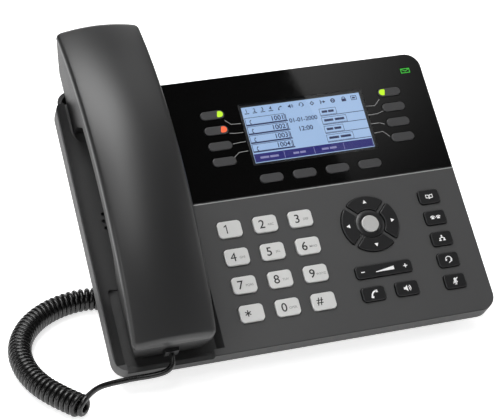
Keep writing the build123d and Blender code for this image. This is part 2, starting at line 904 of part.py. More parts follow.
# Routes: x, distance behind the face's front edge, height
coil_route = [
    behind(point)
    for point in (
        (-82.0, 86.0, 7.0),
        (-99.0, 95.0, 7.0),
        (-119.0, 99.0, 7.0),
        (-139.0, 91.5, 7.0),
        (-154.0, 73.5, 7.0),
        (-162.0, 50.0, 7.0),
        (-162.0, 25.0, 7.0),
        (-152.0, 2.5, 7.0),
        (-133.5, -13.5, 7.0),
    )
]
handset_tail_route = [
    face.from_local_coords((cradle_u, handset_plug_end - along_exit, handset_plug_n))
    for along_exit in (0, 5.5)
] + [
    behind(point)
    for point in (
        (-84.5, -6.6, 15.6),
        (-94.5, -7.8, 13.2),
        (-106.0, -7.4, 12.4),
        (-117.5, -6.4, 12.0),
        (-127.0, -8.4, 12.4),
        (-134.0, -13.4, 12.0),
    )
]
base_tail_route = [
    face.from_local_coords((base_socket_u, base_socket_v, -body_depth - plug_out - along_exit))
    for along_exit in (0, 9)
] + [
    behind(point)
    for point in (
        (-86.6, 84.5, 16.2),
        (-87.6, 91.0, 9.2),
    )
]


def tube(route, diameter, name):
    """Sweep a round section along straight runs joined by tangent arcs."""
    runs = [(b - a).length for a, b in zip(route, route[1:])]
    arcs = []
    for place in range(1, len(route) - 1):
        before = route[place] - route[place - 1]
        after = route[place + 1] - route[place]
        half_turn = radians(before.get_angle(after)) / 2
        arcs.append(arc_share * min(runs[place - 1], runs[place]) / tan(half_turn))
    with BuildPart() as piece:
        with BuildLine() as path:
            FilletPolyline(*route, radius=arcs)
        with BuildSketch(Plane(origin=route[0], z_dir=(route[1] - route[0]))):
            Circle(diameter / 2)
        sweep(path=path.line)
    length = sum(edge.length for edge in path.edges())
    share = piece.part.volume / (pi * diameter**2 / 4 * length)
    print(name, "length", round(length, 1), "volume share", round(share, 4))
    print("  radii in diameters", [round(radius / diameter, 1) for radius in arcs])
    finish(piece, name)


tube(coil_route, coil_diameter, "cord_coil")
tube(handset_tail_route, wire_diameter, "cord_handset_tail")
tube(base_tail_route, wire_diameter, "cord_base_tail")


# ---- Stand and feet ----

tilt = radians(face_tilt)


def slope_point(v, n):
    """Distance behind the front edge and height of a point of the side profile."""
    return (v * cos(tilt) - n * sin(tilt), front_edge_height + v * sin(tilt) + n * cos(tilt))


front_feet = [(side * foot_x, front_edge_y + front_foot_y) for side in (-1, 1)]
rear_foot_y = front_edge_y + stand_foot_y - stand_foot_depth / 2
rear_feet = [(side * rear_foot_x, rear_foot_y) for side in (-1, 1)]
front_top = slope_point(stand_front, -body_depth)
back_top = slope_point(stand_back, -body_depth)
front_under = slope_point(stand_front, -body_depth - stand_wall)
foot_plate_top = front_flat_height + stand_wall
rear_lean = (stand_foot_y - back_top[0]) / (back_top[1] - front_flat_height)


def rear_wall_y(height):
    """Outer face of the stand's leaning rear wall at a height."""
    return stand_foot_y - (height - front_flat_height) * rear_lean


with BuildPart() as stand:
    # Side profile: plate against the housing, leaning rear wall and foot flange
    with BuildSketch(upright(-stand_half_width)):
        Polygon(
            front_top,
            back_top,
            (stand_foot_y, front_flat_height),
            (stand_foot_y - stand_foot_depth, front_flat_height),
            (stand_foot_y - stand_foot_depth, foot_plate_top),
            (rear_wall_y(foot_plate_top) - stand_wall, foot_plate_top),
            (rear_wall_y(back_top[1] - 2 * stand_wall) - stand_wall, back_top[1] - 2 * stand_wall),
            front_under,
            align=None,
        )
    extrude(amount=2 * stand_half_width)
    # Cheeks close the two sides
    for cheek_x in (-stand_half_width, stand_half_width - stand_wall):
        with BuildSketch(upright(cheek_x)):
            Polygon(
                front_top,
                back_top,
                (stand_foot_y, front_flat_height),
                (stand_foot_y - stand_foot_depth, front_flat_height),
                front_under,
                align=None,
            )
        extrude(amount=stand_wall)
    # Arch for the cables
    with BuildSketch(Plane.XZ.offset(-front_edge_y - stand_foot_y - 1)):
        RectangleRounded(cable_arch_width, 2 * cable_arch_top, cable_arch_corner)
    extrude(amount=stand_foot_depth + 10, mode=Mode.SUBTRACT)
    # Tabs that clip into the housing
    for side in (-1, 1):
        with BuildSketch(at(side * stand_tab_u, stand_tab_v, -body_depth - stand_wall / 2)):
            Rectangle(stand_tab[0], stand_tab[1])
        extrude(amount=stand_wall / 2 + stand_tab[2])
    # Seats for the rear feet
    with BuildSketch(Plane.XY.offset(front_flat_height)):
        with Locations(*rear_feet):
            Circle(foot_radius)
    extrude(amount=foot_recess, mode=Mode.SUBTRACT)
finish(stand, "stand")

with BuildPart() as rubber_feet:
    with BuildSketch(Plane.XY):
        with Locations(*front_feet):
            Circle(foot_radius)
    extrude(amount=front_flat_height)
    with BuildSketch(Plane.XY):
        with Locations(*rear_feet):
            Circle(foot_radius)
    extrude(amount=front_flat_height + foot_recess)
finish(rubber_feet, "rubber_feet")
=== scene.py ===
import math

import bmesh
import bpy
import numpy as np
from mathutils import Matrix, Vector
from mathutils.bvhtree import BVHTree
from mathutils.geometry import tessellate_polygon


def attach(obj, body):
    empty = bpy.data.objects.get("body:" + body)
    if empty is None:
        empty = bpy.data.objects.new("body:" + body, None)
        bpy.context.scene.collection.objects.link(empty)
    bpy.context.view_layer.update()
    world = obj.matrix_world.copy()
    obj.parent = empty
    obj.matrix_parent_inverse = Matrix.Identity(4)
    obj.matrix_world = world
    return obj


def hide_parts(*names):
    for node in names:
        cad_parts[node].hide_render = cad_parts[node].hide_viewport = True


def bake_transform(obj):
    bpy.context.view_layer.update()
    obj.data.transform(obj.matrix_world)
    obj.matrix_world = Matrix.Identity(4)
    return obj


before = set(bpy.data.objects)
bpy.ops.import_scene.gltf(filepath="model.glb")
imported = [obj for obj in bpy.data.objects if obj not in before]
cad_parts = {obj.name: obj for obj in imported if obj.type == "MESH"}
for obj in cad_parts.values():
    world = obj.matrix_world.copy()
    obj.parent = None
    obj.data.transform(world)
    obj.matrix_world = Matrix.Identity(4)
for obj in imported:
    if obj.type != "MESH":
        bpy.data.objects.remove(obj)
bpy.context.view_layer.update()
print("frame loaded:", len(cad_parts), "CAD nodes")

# The telephone's sloping face: u to the right, v up the slope, n outwards, in millimetres
face = {"frontY": -69.04, "frontZ": 16.0, "tilt": math.radians(39.4)}


# Row coordinates in metres from face coordinates in millimetres: n and v turned by the tilt
def faceToRow(points):
    p = np.asarray(points, float)
    c, s = math.cos(face["tilt"]), math.sin(face["tilt"])
    y = face["frontY"] + p[..., 1] * c - p[..., 2] * s
    z = face["frontZ"] + p[..., 1] * s + p[..., 2] * c
    return np.stack([p[..., 0], y, z], axis=-1) / 1000


view = {"eye": (-0.2943, -0.8481, 0.5195), "aim": (-0.0157, -0.0059, 0.0679), "lens": 126.9}


# Places an object and turns its -Z axis towards a target
def aimAt(obj, eye, target):
    obj.location = eye
    direction = Vector(target) - Vector(eye)
    obj.rotation_mode = "QUATERNION"
    obj.rotation_quaternion = direction.to_track_quat("-Z", "Y")


cameraData = bpy.data.cameras.new("camera")
cameraData.lens = view["lens"]
cameraData.sensor_width = 36
camera = bpy.data.objects.new("camera", cameraData)
bpy.context.scene.collection.objects.link(camera)
aimAt(camera, view["eye"], view["aim"])
bpy.context.scene.camera = camera


# sRGB hex to the linear values that the shader wants, channel by channel
def linear(hexColour):
    channels = [int(hexColour[i : i + 2], 16) / 255 for i in (1, 3, 5)]
    out = [c / 12.92 if c <= 0.04045 else ((c + 0.055) / 1.055) ** 2.4 for c in channels]
    return (*out, 1.0)


# Adds one node, sets its own settings and inputs, and links the inputs that are sockets
def addNode(tree, kind, settings=None, inputs=None):
    node = tree.nodes.new(kind)
    for name, value in (settings or {}).items():
        setattr(node, name, value)
    for name, value in (inputs or {}).items():
        if isinstance(value, bpy.types.NodeSocket):
            tree.links.new(value, node.inputs[name])
        else:
            node.inputs[name].default_value = value
    return node


# One arithmetic node on sockets or numbers
def mathNode(tree, operation, *values):
    node = addNode(tree, "ShaderNodeMath", {"operation": operation}, dict(enumerate(values)))
    return node.outputs[0]


# A colour between two others by a factor, or the first times the second
def mixColour(tree, factor, first, second, blend="MIX"):
    settings = {"data_type": "RGBA", "blend_type": blend}
    return addNode(tree, "ShaderNodeMix", settings, {0: factor, 6: first, 7: second}).outputs[2]


# A value carried from start..end to low..high, in a straight line or eased at both ends
def mapRange(tree, value, start, end, low, high, eased=False):
    settings = {"interpolation_type": "SMOOTHSTEP" if eased else "LINEAR"}
    inputs = {"Value": value, "From Min": start, "From Max": end, "To Min": low, "To Max": high}
    return addNode(tree, "ShaderNodeMapRange", settings, inputs).outputs["Result"]


# A new material with its node tree, its shader and a socket of object coordinates
def newMaterial(name):
    material = bpy.data.materials.new(name)
    material.use_nodes = True
    tree = material.node_tree
    place = addNode(tree, "ShaderNodeTexCoord").outputs["Object"]
    return material, tree, tree.nodes["Principled BSDF"], place


# Size of the slow colour change, and the grain values that give both roughness limits
finishKit = {"broadMm": 35, "grainLow": 0.3, "grainHigh": 0.7}


# A moulded or painted finish: a slowly varying colour and a fine grain, sizes in millimetres
def finishMaterial(
    name, colour, second, roughness, grainMm, grainDepthMm, edgeMm=0.0, ior=1.5, metallic=0.0
):
    material, tree, shader, place = newMaterial(name)
    broadInputs = {"Vector": place, "Scale": 1000 / finishKit["broadMm"], "Detail": 3.0}
    broad = addNode(tree, "ShaderNodeTexNoise", inputs=broadInputs)
    tint = mixColour(tree, broad.outputs["Fac"], linear(colour), linear(second))
    tree.links.new(tint, shader.inputs["Base Color"])
    grainInputs = {"Vector": place, "Scale": 1000 / grainMm, "Detail": 2.0, "Roughness": 0.6}
    grain = addNode(tree, "ShaderNodeTexNoise", inputs=grainInputs).outputs["Fac"]
    spread = mapRange(tree, grain, finishKit["grainLow"], finishKit["grainHigh"], *roughness)
    tree.links.new(spread, shader.inputs["Roughness"])
    bumpInputs = {"Height": grain, "Strength": 1.0, "Distance": grainDepthMm / 1000}
    if edgeMm:
        edge = addNode(tree, "ShaderNodeBevel", {"samples": 6}, {"Radius": edgeMm / 1000})
        bumpInputs["Normal"] = edge.outputs["Normal"]
    bump = addNode(tree, "ShaderNodeBump", inputs=bumpInputs)
    tree.links.new(bump.outputs["Normal"], shader.inputs["Normal"])
    shader.inputs["Metallic"].default_value = metallic
    shader.inputs["IOR"].default_value = ior
    return material


# The wall in front of the face: its painted shade (a darker colour for the shade it lies in), and
# millimetres past the edge where the painted shade fades
frontWallPaintedShade = {"shade": 0.22, "fadeFrom": 0.2, "fadeTo": 0.7}


# Paints shade on the front wall: multiplies a colour by the painted shade where y cos(tilt) + z
# sin(tilt) is below the edge
def paintShadeOnFrontWall(material):
    tree = material.node_tree
    place = addNode(tree, "ShaderNodeTexCoord").outputs["Object"]
    parts = addNode(tree, "ShaderNodeSeparateXYZ", inputs={0: place})
    c, s = math.cos(face["tilt"]), math.sin(face["tilt"])
    along = mathNode(tree, "MULTIPLY", parts.outputs["Y"], c)
    rise = mathNode(tree, "MULTIPLY_ADD", parts.outputs["Z"], s, along)
    edge = (face["frontY"] * c + face["frontZ"] * s) / 1000
    start, end = edge + frontWallPaintedShade["fadeFrom"] / 1000, edge + frontWallPaintedShade["fadeTo"] / 1000
    paintedShadeMask = mapRange(tree, rise, start, end, frontWallPaintedShade["shade"], 1.0)
    colour = tree.nodes["Principled BSDF"].inputs["Base Color"]
    shade = mixColour(tree, 1.0, colour.links[0].from_socket, paintedShadeMask, "MULTIPLY")
    tree.links.new(shade, colour)


# Spark-textured ABS: matt and fine grained
housingAbs = finishMaterial(
    "housingAbs", "#3e3e3e", "#3a3a3b", (0.5, 0.62), 0.45, 0.02, edgeMm=0.6, ior=1.54
)
# Painted shade: the housing's colour is darkened on the front wall below the face's edge
paintShadeOnFrontWall(housingAbs)
undersideAbs = finishMaterial(
    "undersideAbs", "#2e2e2f", "#29292a", (0.5, 0.62), 0.5, 0.025, edgeMm=0.6, ior=1.54
)
# Satin ABS of the handset: smoother, with a long soft highlight
handsetAbs = finishMaterial("handsetAbs", "#212121", "#1e1e1f", (0.34, 0.42), 0.35, 0.008, ior=1.54)
# The handset's underside: the same ABS left rougher from the mould, its colour painted darker as
# shade on its sides
handsetUnderShadedAbs = finishMaterial("handsetUnderShadedAbs", "#161616", "#131314", (0.45, 0.55), 0.4, 0.012)
# Back-painted acrylic: deep black and mirror smooth
fasciaAcrylic = finishMaterial(
    "fasciaAcrylic", "#060606", "#080808", (0.03, 0.06), 3.0, 0.0005, edgeMm=0.3, ior=1.49
)
# Silver-painted key caps, satin with a little flake
silverPaint = finishMaterial(
    "silverPaint", "#dadad8", "#d1d1d0", (0.38, 0.48), 0.3, 0.006, edgeMm=0.25, metallic=0.15
)
# Satin metallic lacquer of the round button
buttonLacquer = finishMaterial(
    "buttonLacquer", "#d0d0ce", "#c4c4c2", (0.28, 0.36), 0.3, 0.004, metallic=0.3
)
# Dark satin key caps
darkKeyAbs = finishMaterial("darkKeyAbs", "#1a1a1b", "#171718", (0.3, 0.4), 0.35, 0.006, edgeMm=0.25)
# Smoke-grey translucent caps of the line and soft keys
smokeKey = finishMaterial("smokeKey", "#444445", "#3e3e3f", (0.28, 0.36), 0.4, 0.004, edgeMm=0.25)
# Black PVC jacket of the curly cord, glossy with faint drawing marks
cordPvc = finishMaterial("cordPvc", "#060606", "#0a0a0a", (0.2, 0.3), 0.8, 0.01, ior=1.52)
# Soft rubber feet and zinc-plated screws
footRubber = finishMaterial("footRubber", "#1a1a1a", "#202020", (0.7, 0.85), 0.6, 0.04)
screwSteel = finishMaterial("screwSteel", "#b8babd", "#a3a6aa", (0.25, 0.4), 0.5, 0.01, metallic=1.0)
# Silicone key mat, board laminate, black nylon socket shells and steel capsules
matSilicone = finishMaterial("matSilicone", "#5e5e60", "#545456", (0.55, 0.65), 0.8, 0.02)
boardLaminate = finishMaterial("boardLaminate", "#1d5a34", "#174a2b", (0.35, 0.5), 1.2, 0.01)
socketNylon = finishMaterial("socketNylon", "#161617", "#1c1c1d", (0.4, 0.5), 0.6, 0.01, edgeMm=0.2)
capsuleSteel = finishMaterial(
    "capsuleSteel", "#6c6d70", "#5c5d60", (0.35, 0.5), 0.8, 0.01, metallic=0.8
)
# Printed inks, and a silver paint for a painted highlight along the glossy panel's lower edge
whiteInk = finishMaterial("whiteInk", "#f6f6f6", "#eeeeee", (0.45, 0.55), 0.4, 0.002)
blackInk = finishMaterial("blackInk", "#151515", "#1b1b1b", (0.45, 0.55), 0.4, 0.002)
greyInk = finishMaterial("greyInk", "#8d8d8d", "#868686", (0.45, 0.55), 0.4, 0.002)
edgeHighlightPaint = finishMaterial("edgeHighlightPaint", "#bdbdbd", "#b2b2b2", (0.3, 0.4), 0.4, 0.002, metallic=0.4)
leaderInk = finishMaterial("leaderInk", "#9a9a9a", "#8f8f8f", (0.45, 0.55), 0.4, 0.002)


# A part that shines by its own light, with a slow change of colour over its surface
def glowMaterial(name, colour, second, strength, patchMm):
    material, tree, shader, place = newMaterial(name)
    patchInputs = {"Vector": place, "Scale": 1000 / patchMm, "Detail": 1.0}
    patch = addNode(tree, "ShaderNodeTexNoise", inputs=patchInputs)
    tint = mixColour(tree, patch.outputs["Fac"], linear(colour), linear(second))
    tree.links.new(tint, shader.inputs["Emission Color"])
    shader.inputs["Emission Strength"].default_value = strength
    shader.inputs["Base Color"].default_value = linear("#101010")
    shader.inputs["Roughness"].default_value = 0.4
    return material


lcdLight = glowMaterial("lcdLight", "#a3c4ee", "#b4d0f4", 0.86, 40)
lcdMark = glowMaterial("lcdMark", "#1d2a66", "#222f70", 0.5, 20)
lcdPale = glowMaterial("lcdPale", "#a9a8e0", "#b4b3e6", 0.6, 20)
lcdBar = glowMaterial("lcdBar", "#26247c", "#2c2a86", 0.7, 30)
greenGlow = glowMaterial("greenGlow", "#b6e322", "#a6d81c", 1.3, 6)
redGlow = glowMaterial("redGlow", "#f0653a", "#e2552c", 1.3, 6)
lampGlow = glowMaterial("lampGlow", "#3fc23a", "#35b534", 1.0, 6)

# Clear acrylic window over the display
lensAcrylic = finishMaterial("lensAcrylic", "#ffffff", "#fafcff", (0.0, 0.02), 4.0, 0.0002, ior=1.49)
lensAcrylic.node_tree.nodes["Principled BSDF"].inputs["Transmission Weight"].default_value = 1.0

nodeFinish = {
    housingAbs: ["upper_housing"],
    undersideAbs: ["lower_housing", "stand"],
    fasciaAcrylic: ["fascia_panel", "message_lamp"],
    lensAcrylic: ["display_lens"],
    silverPaint: [],
    smokeKey: [],
    darkKeyAbs: [],
    buttonLacquer: ["ok_key"],
    matSilicone: ["keypad_mat"],
    boardLaminate: ["main_board"],
    socketNylon: ["sockets", "lcd_module", "hook_switch", "handset_plug", "base_plug"],
    capsuleSteel: ["receiver", "microphone", "handsfree_speaker"],
    screwSteel: ["housing_screws"],
    footRubber: ["rubber_feet"],
    cordPvc: ["cord_coil", "cord_handset_tail", "cord_base_tail"],
    handsetAbs: ["handset_outer_shell", "handset_inner_shell"],
}
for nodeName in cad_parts:
    if nodeName.startswith("dial_key"):
        nodeFinish[silverPaint].append(nodeName)
    elif nodeName.startswith(("line_key", "soft_key")):
        nodeFinish[smokeKey].append(nodeName)
    elif nodeName != "ok_key" and ("_key" in nodeName or nodeName == "volume_rocker"):
        nodeFinish[darkKeyAbs].append(nodeName)
for material, names in nodeFinish.items():
    for nodeName in names:
        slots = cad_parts[nodeName].data.materials
        slots.clear()
        slots.append(material)
print("materials on CAD nodes:", sum(len(names) for names in nodeFinish.values()))


# Quads of a grid of points stored row by row, where each row closes on itself
def gridFaces(rows, columns):
    r, c = np.meshgrid(np.arange(rows - 1), np.arange(columns), indexing="ij")
    right = (c + 1) % columns
    below = (r + 1) * columns
    corners = [r * columns + c, r * columns + right, below + right, below + c]
    return np.stack(corners, -1).reshape(-1, 4).tolist()


# A mesh object from points in row metres and faces, shaded smooth up to an angle
def makePiece(name, points, faces, material, body, smoothAngle=35, flip=False):
    mesh = bpy.data.meshes.new(name)
    mesh.from_pydata(np.asarray(points, float).reshape(-1, 3).tolist(), [], faces)
    if flip:
        mesh.flip_normals()
    mesh.materials.append(material)
    mesh.validate()
    mesh.shade_smooth()
    mesh.set_sharp_from_angle(angle=math.radians(smoothAngle))
    mesh.update()
    obj = bpy.data.objects.new(name, mesh)
    bpy.context.scene.collection.objects.link(obj)
    if body:
        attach(obj, body)
    return obj


# Route points in millimetres: x, distance behind the front edge, height; exits are face points.
# driftPart of the tail bends on to the coil; joinPasses smooth joinSpan points round each join.
cord = {
    "coilRoute": [
        (-82.0, 88.0, 7.0),
        (-98.0, 98.0, 7.0),
        (-117.5, 97.0, 7.0),
        (-136.0, 86.5, 7.0),
        (-149.0, 69.0, 7.0),
        (-155.0, 48.0, 7.0),
        (-153.5, 25.0, 7.0),
        (-145.5, 4.0, 7.0),
        (-132.5, -13.5, 7.0),
    ],
    "handsetTail": [
        (-84.5, -4.6, 14.6),
        (-92.5, -3.2, 12.8),
        (-102.0, -1.8, 12.2),
        (-113.0, -2.2, 12.0),
        (-123.0, -4.0, 12.2),
        (-131.0, -8.2, 12.4),
        (-136.0, -13.2, 12.0),
    ],
    "handsetExit": [(-80.5, 4.5, 4.0), (-80.5, -1.0, 3.8)],
    "baseTail": [(-86.6, 84.5, 16.2), (-87.6, 91.0, 9.2)],
    "baseExit": [(-86.0, 60.0, -33.5), (-86.0, 60.0, -42.5)],
    "wire": 3.2,
    "coilMean": 10.3,
    "turns": 48,
    "pointsPerTurn": 24,
    "tailTurns": 2.5,
    "driftPart": 0.4,
    "joinSpan": 18,
    "joinPasses": 40,
    "around": 12,
}


# Row metres from x, distance behind the front edge and height
def behindFront(points):
    p = np.asarray(points, float)
    return (p + np.array([0, face["frontY"], 0])) / 1000


# A smooth curve near control points: a NURBS spline of order 3 that touches both ends
def smoothRoute(name, control, resolution=24):
    curve = bpy.data.curves.new(name, "CURVE")
    curve.dimensions = "3D"
    curve.resolution_u = resolution
    spline = curve.splines.new("NURBS")
    spline.points.add(len(control) - 1)
    spline.points.foreach_set("co", np.hstack([control, np.ones((len(control), 1))]).ravel())
    spline.order_u = 3
    spline.use_endpoint_u = True
    holder = bpy.data.objects.new(name, curve)
    mesh = bpy.data.meshes.new_from_object(holder)
    line = np.zeros(len(mesh.vertices) * 3)
    mesh.vertices.foreach_get("co", line)
    bpy.data.meshes.remove(mesh)
    bpy.data.objects.remove(holder)
    bpy.data.curves.remove(curve)
    return line.reshape(-1, 3)


# The same line again with points a fixed share of its length apart
def evenly(line, count):
    steps = np.linalg.norm(np.diff(line, axis=0), axis=1)
    along = np.concatenate([[0], np.cumsum(steps)])
    at = np.linspace(0, along[-1], count)
    return np.stack([np.interp(at, along, line[:, k]) for k in range(3)], axis=1)


# Unit tangents of a line, by central differences
def tangents(line):
    d = np.gradient(line, axis=0)
    return d / np.linalg.norm(d, axis=1, keepdims=True)


# Tube round a line: each ring is a circle square to the tangent, its start direction carried
# along by projecting the last one, and both ends closed by a fan
def tube(line, radius, around):
    t = tangents(line)
    side = np.zeros_like(line)
    side[0] = np.cross(t[0], [0.3, 0.2, 0.93])
    side[0] /= np.linalg.norm(side[0])
    for i in range(1, len(line)):
        s = side[i - 1] - t[i] * (side[i - 1] @ t[i])
        side[i] = s / np.linalg.norm(s)
    other = np.cross(t, side)
    turn = np.linspace(0, 2 * math.pi, around, endpoint=False)
    rings = line[:, None] + radius * (
        np.cos(turn)[None, :, None] * side[:, None] + np.sin(turn)[None, :, None] * other[:, None]
    )
    faces = gridFaces(len(line), around)
    first, last = len(line) * around, len(line) * around + 1
    end = (len(line) - 1) * around
    faces += [[a, (a + 1) % around, first] for a in range(around)]
    faces += [[end + (a + 1) % around, end + a, last] for a in range(around)]
    return np.vstack([rings.reshape(-1, 3), line[:1], line[-1:]]), faces


# Normals turned outwards on a closed piece
def fixNormals(obj):
    shape = bmesh.new()
    shape.from_mesh(obj.data)
    bmesh.ops.recalc_face_normals(shape, faces=shape.faces)
    shape.to_mesh(obj.data)
    shape.free()


# The coil: its axis plus the mean radius, turned evenly from straight up towards the side, so
# that the last turn ends in the direction of endPoint and eases out to its distance
def coilLine(axis, endPoint):
    up = np.array([0, 0, 1.0])
    across = np.cross(up, tangents(axis))
    across /= np.linalg.norm(across, axis=1, keepdims=True)
    # From the open end the wire passes over the top towards the front, then down and under
    towardsFront = np.array([-0.65, -0.76, 0])
    if across[0] @ towardsFront < 0:
        across = -across
    final = endPoint - axis[-1]
    finalTurn = math.atan2(final @ across[-1], final @ up)
    whole = 2 * math.pi * (cord["turns"] - 1) + finalTurn % (2 * math.pi)
    turn = np.linspace(0, whole, len(axis))
    radius = np.full(len(axis), cord["coilMean"] / 2000)
    ramp = cord["pointsPerTurn"]
    ease = np.linspace(0, 1, ramp)
    ease = ease * ease * (3 - 2 * ease)
    radius[-ramp:] += (math.hypot(final @ across[-1], final @ up) - radius[-1]) * ease
    return axis + radius[:, None] * (np.cos(turn)[:, None] * up + np.sin(turn)[:, None] * across)


# Averages neighbours near a point of a line, most at the point and fading out beside it
def smoothJoin(line, join):
    index = np.arange(1, len(line) - 1)
    weight = np.clip(1 - ((index - join) / cord["joinSpan"]) ** 2, 0, 1)[:, None] ** 2
    for _ in range(cord["joinPasses"]):
        line[1:-1] += weight / 2 * ((line[:-2] + line[2:]) / 2 - line[1:-1])


# The cord's middle line from the handset to the base: a tail, the coil and a short tail
def cordLine():
    handsetPoints = np.vstack([faceToRow(cord["handsetExit"]), behindFront(cord["handsetTail"])])
    handsetTail = smoothRoute("handsetTailRoute", handsetPoints)
    basePoints = np.vstack([faceToRow(cord["baseExit"]), behindFront(cord["baseTail"])])
    baseTail = smoothRoute("baseTailRoute", basePoints)
    axis = smoothRoute("coilRoute", behindFront(cord["coilRoute"]))[::-1]
    count = cord["turns"] * cord["pointsPerTurn"]
    coil = coilLine(evenly(axis, count), baseTail[-1])
    tailCount = int(cord["pointsPerTurn"] * cord["tailTurns"])
    tail = evenly(handsetTail, tailCount)
    drift = cord["driftPart"]
    share = np.clip((np.arange(tailCount) / (tailCount - 1) - (1 - drift)) / drift, 0, 1)[:, None]
    tail = tail + (coil[0] - tail[-1]) * share * share * (3 - 2 * share)
    back = evenly(baseTail[::-1], cord["pointsPerTurn"])
    back = back + (coil[-1] - back[0]) * np.linspace(1, 0, len(back))[:, None]
    line = np.vstack([tail[:-1], coil, back[1:]])
    smoothJoin(line, tailCount - 1)
    smoothJoin(line, tailCount + count - 2)
    return line


# The cord: a tube along that line, which stands for the coil and both tails
def buildCord():
    line = cordLine()
    points, faces = tube(line, cord["wire"] / 2000, cord["around"])
    obj = makePiece("curlyCord", points, faces, cordPvc, None, 60)
    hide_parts("cord_coil", "cord_handset_tail", "cord_base_tail")
    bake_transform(obj)
    length = float(np.linalg.norm(np.diff(line, axis=0), axis=1).sum())
    print("cord length", round(length, 3))


buildCord()
print("cord made")


# Both shells follow one arch: the top edge lies on an arc of edgeRadius, crowned across its width
handset = {
    "middleU": -80.5,
    "arcV": 98.0,
    "edgeN": 37.5,
    "edgeRadius": 241.0,
    "crown": 4.5,
    "low": 5.4,
    "high": 201.5,
    "lowWidth": 46.4,
    "highWidth": 48.4,
    "partingDepth": 3.6,
    "partingGap": 0.7,
    "cornerRound": 3.0,
    "endRadius": 4.0,
    "endDrop": 2.2,
    "rollDepth": 3.0,
    "tongue": 1.2,
    "tongueInset": 0.8,
    "tongueRun": 2.0,
    "gripRadius": 228.0,
}


# Height on a circle about the arch's centre: centre + sqrt(radius² - (v - arcV)²)
def archHeight(v, radius):
    centre = handset["edgeN"] - handset["edgeRadius"]
    return centre + np.sqrt(radius**2 - (v - handset["arcV"]) ** 2)


# Half the width, in a straight line from the mouth end's to the ear end's
def halfWidth(v):
    share = (v - handset["low"]) / (handset["high"] - handset["low"])
    return (handset["lowWidth"] + (handset["highWidth"] - handset["lowWidth"]) * share) / 2


# How far a rounded end of radius r pulls in at a distance from that end
def endInset(distance, radius):
    d = np.clip(radius - distance, 0, radius)
    return radius - np.sqrt(radius**2 - d**2)


# Stations along v, dense near both ends where the outline turns in
def stations(low, high, radius, middle, ends=14):
    turn = np.linspace(0, math.pi / 2, ends)
    near = radius * (1 - np.cos(turn))
    straight = np.linspace(low + radius, high - radius, middle)
    return np.concatenate([low + near[:-1], straight, (high - near[:-1])[::-1]])


# Top shell: one section at each station, up a side wall, round a corner and over a crown that
# sinks by (u / half)², with plan corners of endRadius and ends that roll down by endDrop
def buildTopShell():
    h = handset
    v = stations(h["low"], h["high"], h["endRadius"], 90)
    edge = archHeight(v, h["edgeRadius"])
    ends = np.minimum(v - h["low"], h["high"] - v)
    half = halfWidth(v) - endInset(ends, h["endRadius"])
    slope = math.atan(2 * h["crown"] / (h["lowWidth"] / 2))
    r = h["cornerRound"]
    turn = np.linspace(math.pi, math.pi / 2 + slope, 9)
    cornerU = -half[:, None] + r + r * np.cos(turn)[None, :]
    endU = cornerU[:, -1:]
    crownAt = h["crown"] * (1 - (endU / half[:, None]) ** 2)
    centreN = edge[:, None] + crownAt - r * math.sin(turn[-1])
    cornerN = centreN + r * np.sin(turn)[None, :]
    topU = -endU * np.linspace(-1, 1, 31)[1:-1][None, :]
    topN = edge[:, None] + h["crown"] * (1 - (topU / half[:, None]) ** 2)
    baseN = (edge - h["partingDepth"])[:, None]
    # A tongue under the shell closes the parting gap to light, and runs out at both ends
    tongueN = baseN - h["tongue"] * np.clip(ends / h["tongueRun"], 0, 1)[:, None]
    tongueU = half[:, None] - h["tongueInset"]
    leftU = np.hstack([-tongueU, -tongueU, -half[:, None], cornerU, topU])
    leftN = np.hstack([tongueN, baseN, baseN, cornerN, topN])
    sectionU = np.hstack([leftU, -cornerU[:, ::-1], half[:, None], tongueU, tongueU])
    sectionN = np.hstack([leftN, cornerN[:, ::-1], baseN, baseN, tongueN])
    # The two ends roll over: heights sink, the more the higher above the parting line
    drop = endInset(ends, h["endDrop"])[:, None]
    sectionN = sectionN - drop * np.clip((sectionN - baseN) / h["rollDepth"], 0, 1)
    columns = sectionU.shape[1]
    sectionV = np.broadcast_to(v[:, None], sectionU.shape)
    points = faceToRow(np.stack([sectionU + h["middleU"], sectionV, sectionN], -1))
    faces = gridFaces(len(v), columns)
    faces.append(list(range(columns)))
    faces.append(list(range((len(v) - 1) * columns, len(v) * columns))[::-1])
    obj = makePiece("handsetTopShell", points, faces, handsetAbs, "handset", 40, flip=True)
    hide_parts("handset_outer_shell")


# Side profile of the under shell as (v, n, corner radius), from the mouth end to the ear end;
# a grip or arch row gives the two ends of a stretch that follows that circle
underProfile = [
    (6.2, 12.6, 2.4),
    (7.4, -3.7, 3.0),
    (12.0, -8.7, 3.0),
    (41.0, -8.7, 3.0),
    (48.0, 8.0, 8.0),
    ("grip", 58.0, 136.0),
    (143.0, 8.0, 8.0),
    (147.5, -8.7, 3.0),
    (187.3, -8.7, 3.0),
    (194.7, 0.3, 4.0),
    (200.3, 9.6, 2.4),
    ("arch", 194.0, 11.0),
]
# Its sides are inset from the top shell's, lean in by lean over leanDepth below leanFrom, and by
# mouthLean more as v falls by mouthRun from mouthFrom; edge is the rim's radius
underSides = {
    "inset": 0.6,
    "edge": 1.0,
    "halfWidth": 23.0,
    "leanFrom": 14.0,
    "leanDepth": 23.0,
    "lean": 1.0,
    "mouthLean": 3.6,
    "mouthFrom": 130.0,
    "mouthRun": 85.0,
}


# The profile's rows with each grip or arch row spread into 24 sharp points on its circle
def profileCorners(rows):
    arch = handset["edgeRadius"] - handset["partingDepth"] - handset["partingGap"]
    radii = {"grip": handset["gripRadius"], "arch": arch}
    corners = []
    for row in rows:
        if row[0] in radii:
            along = np.linspace(row[1], row[2], 24)
            corners += [(v, archHeight(v, radii[row[0]]), 0.0) for v in along]
        else:
            corners.append(row)
    return corners


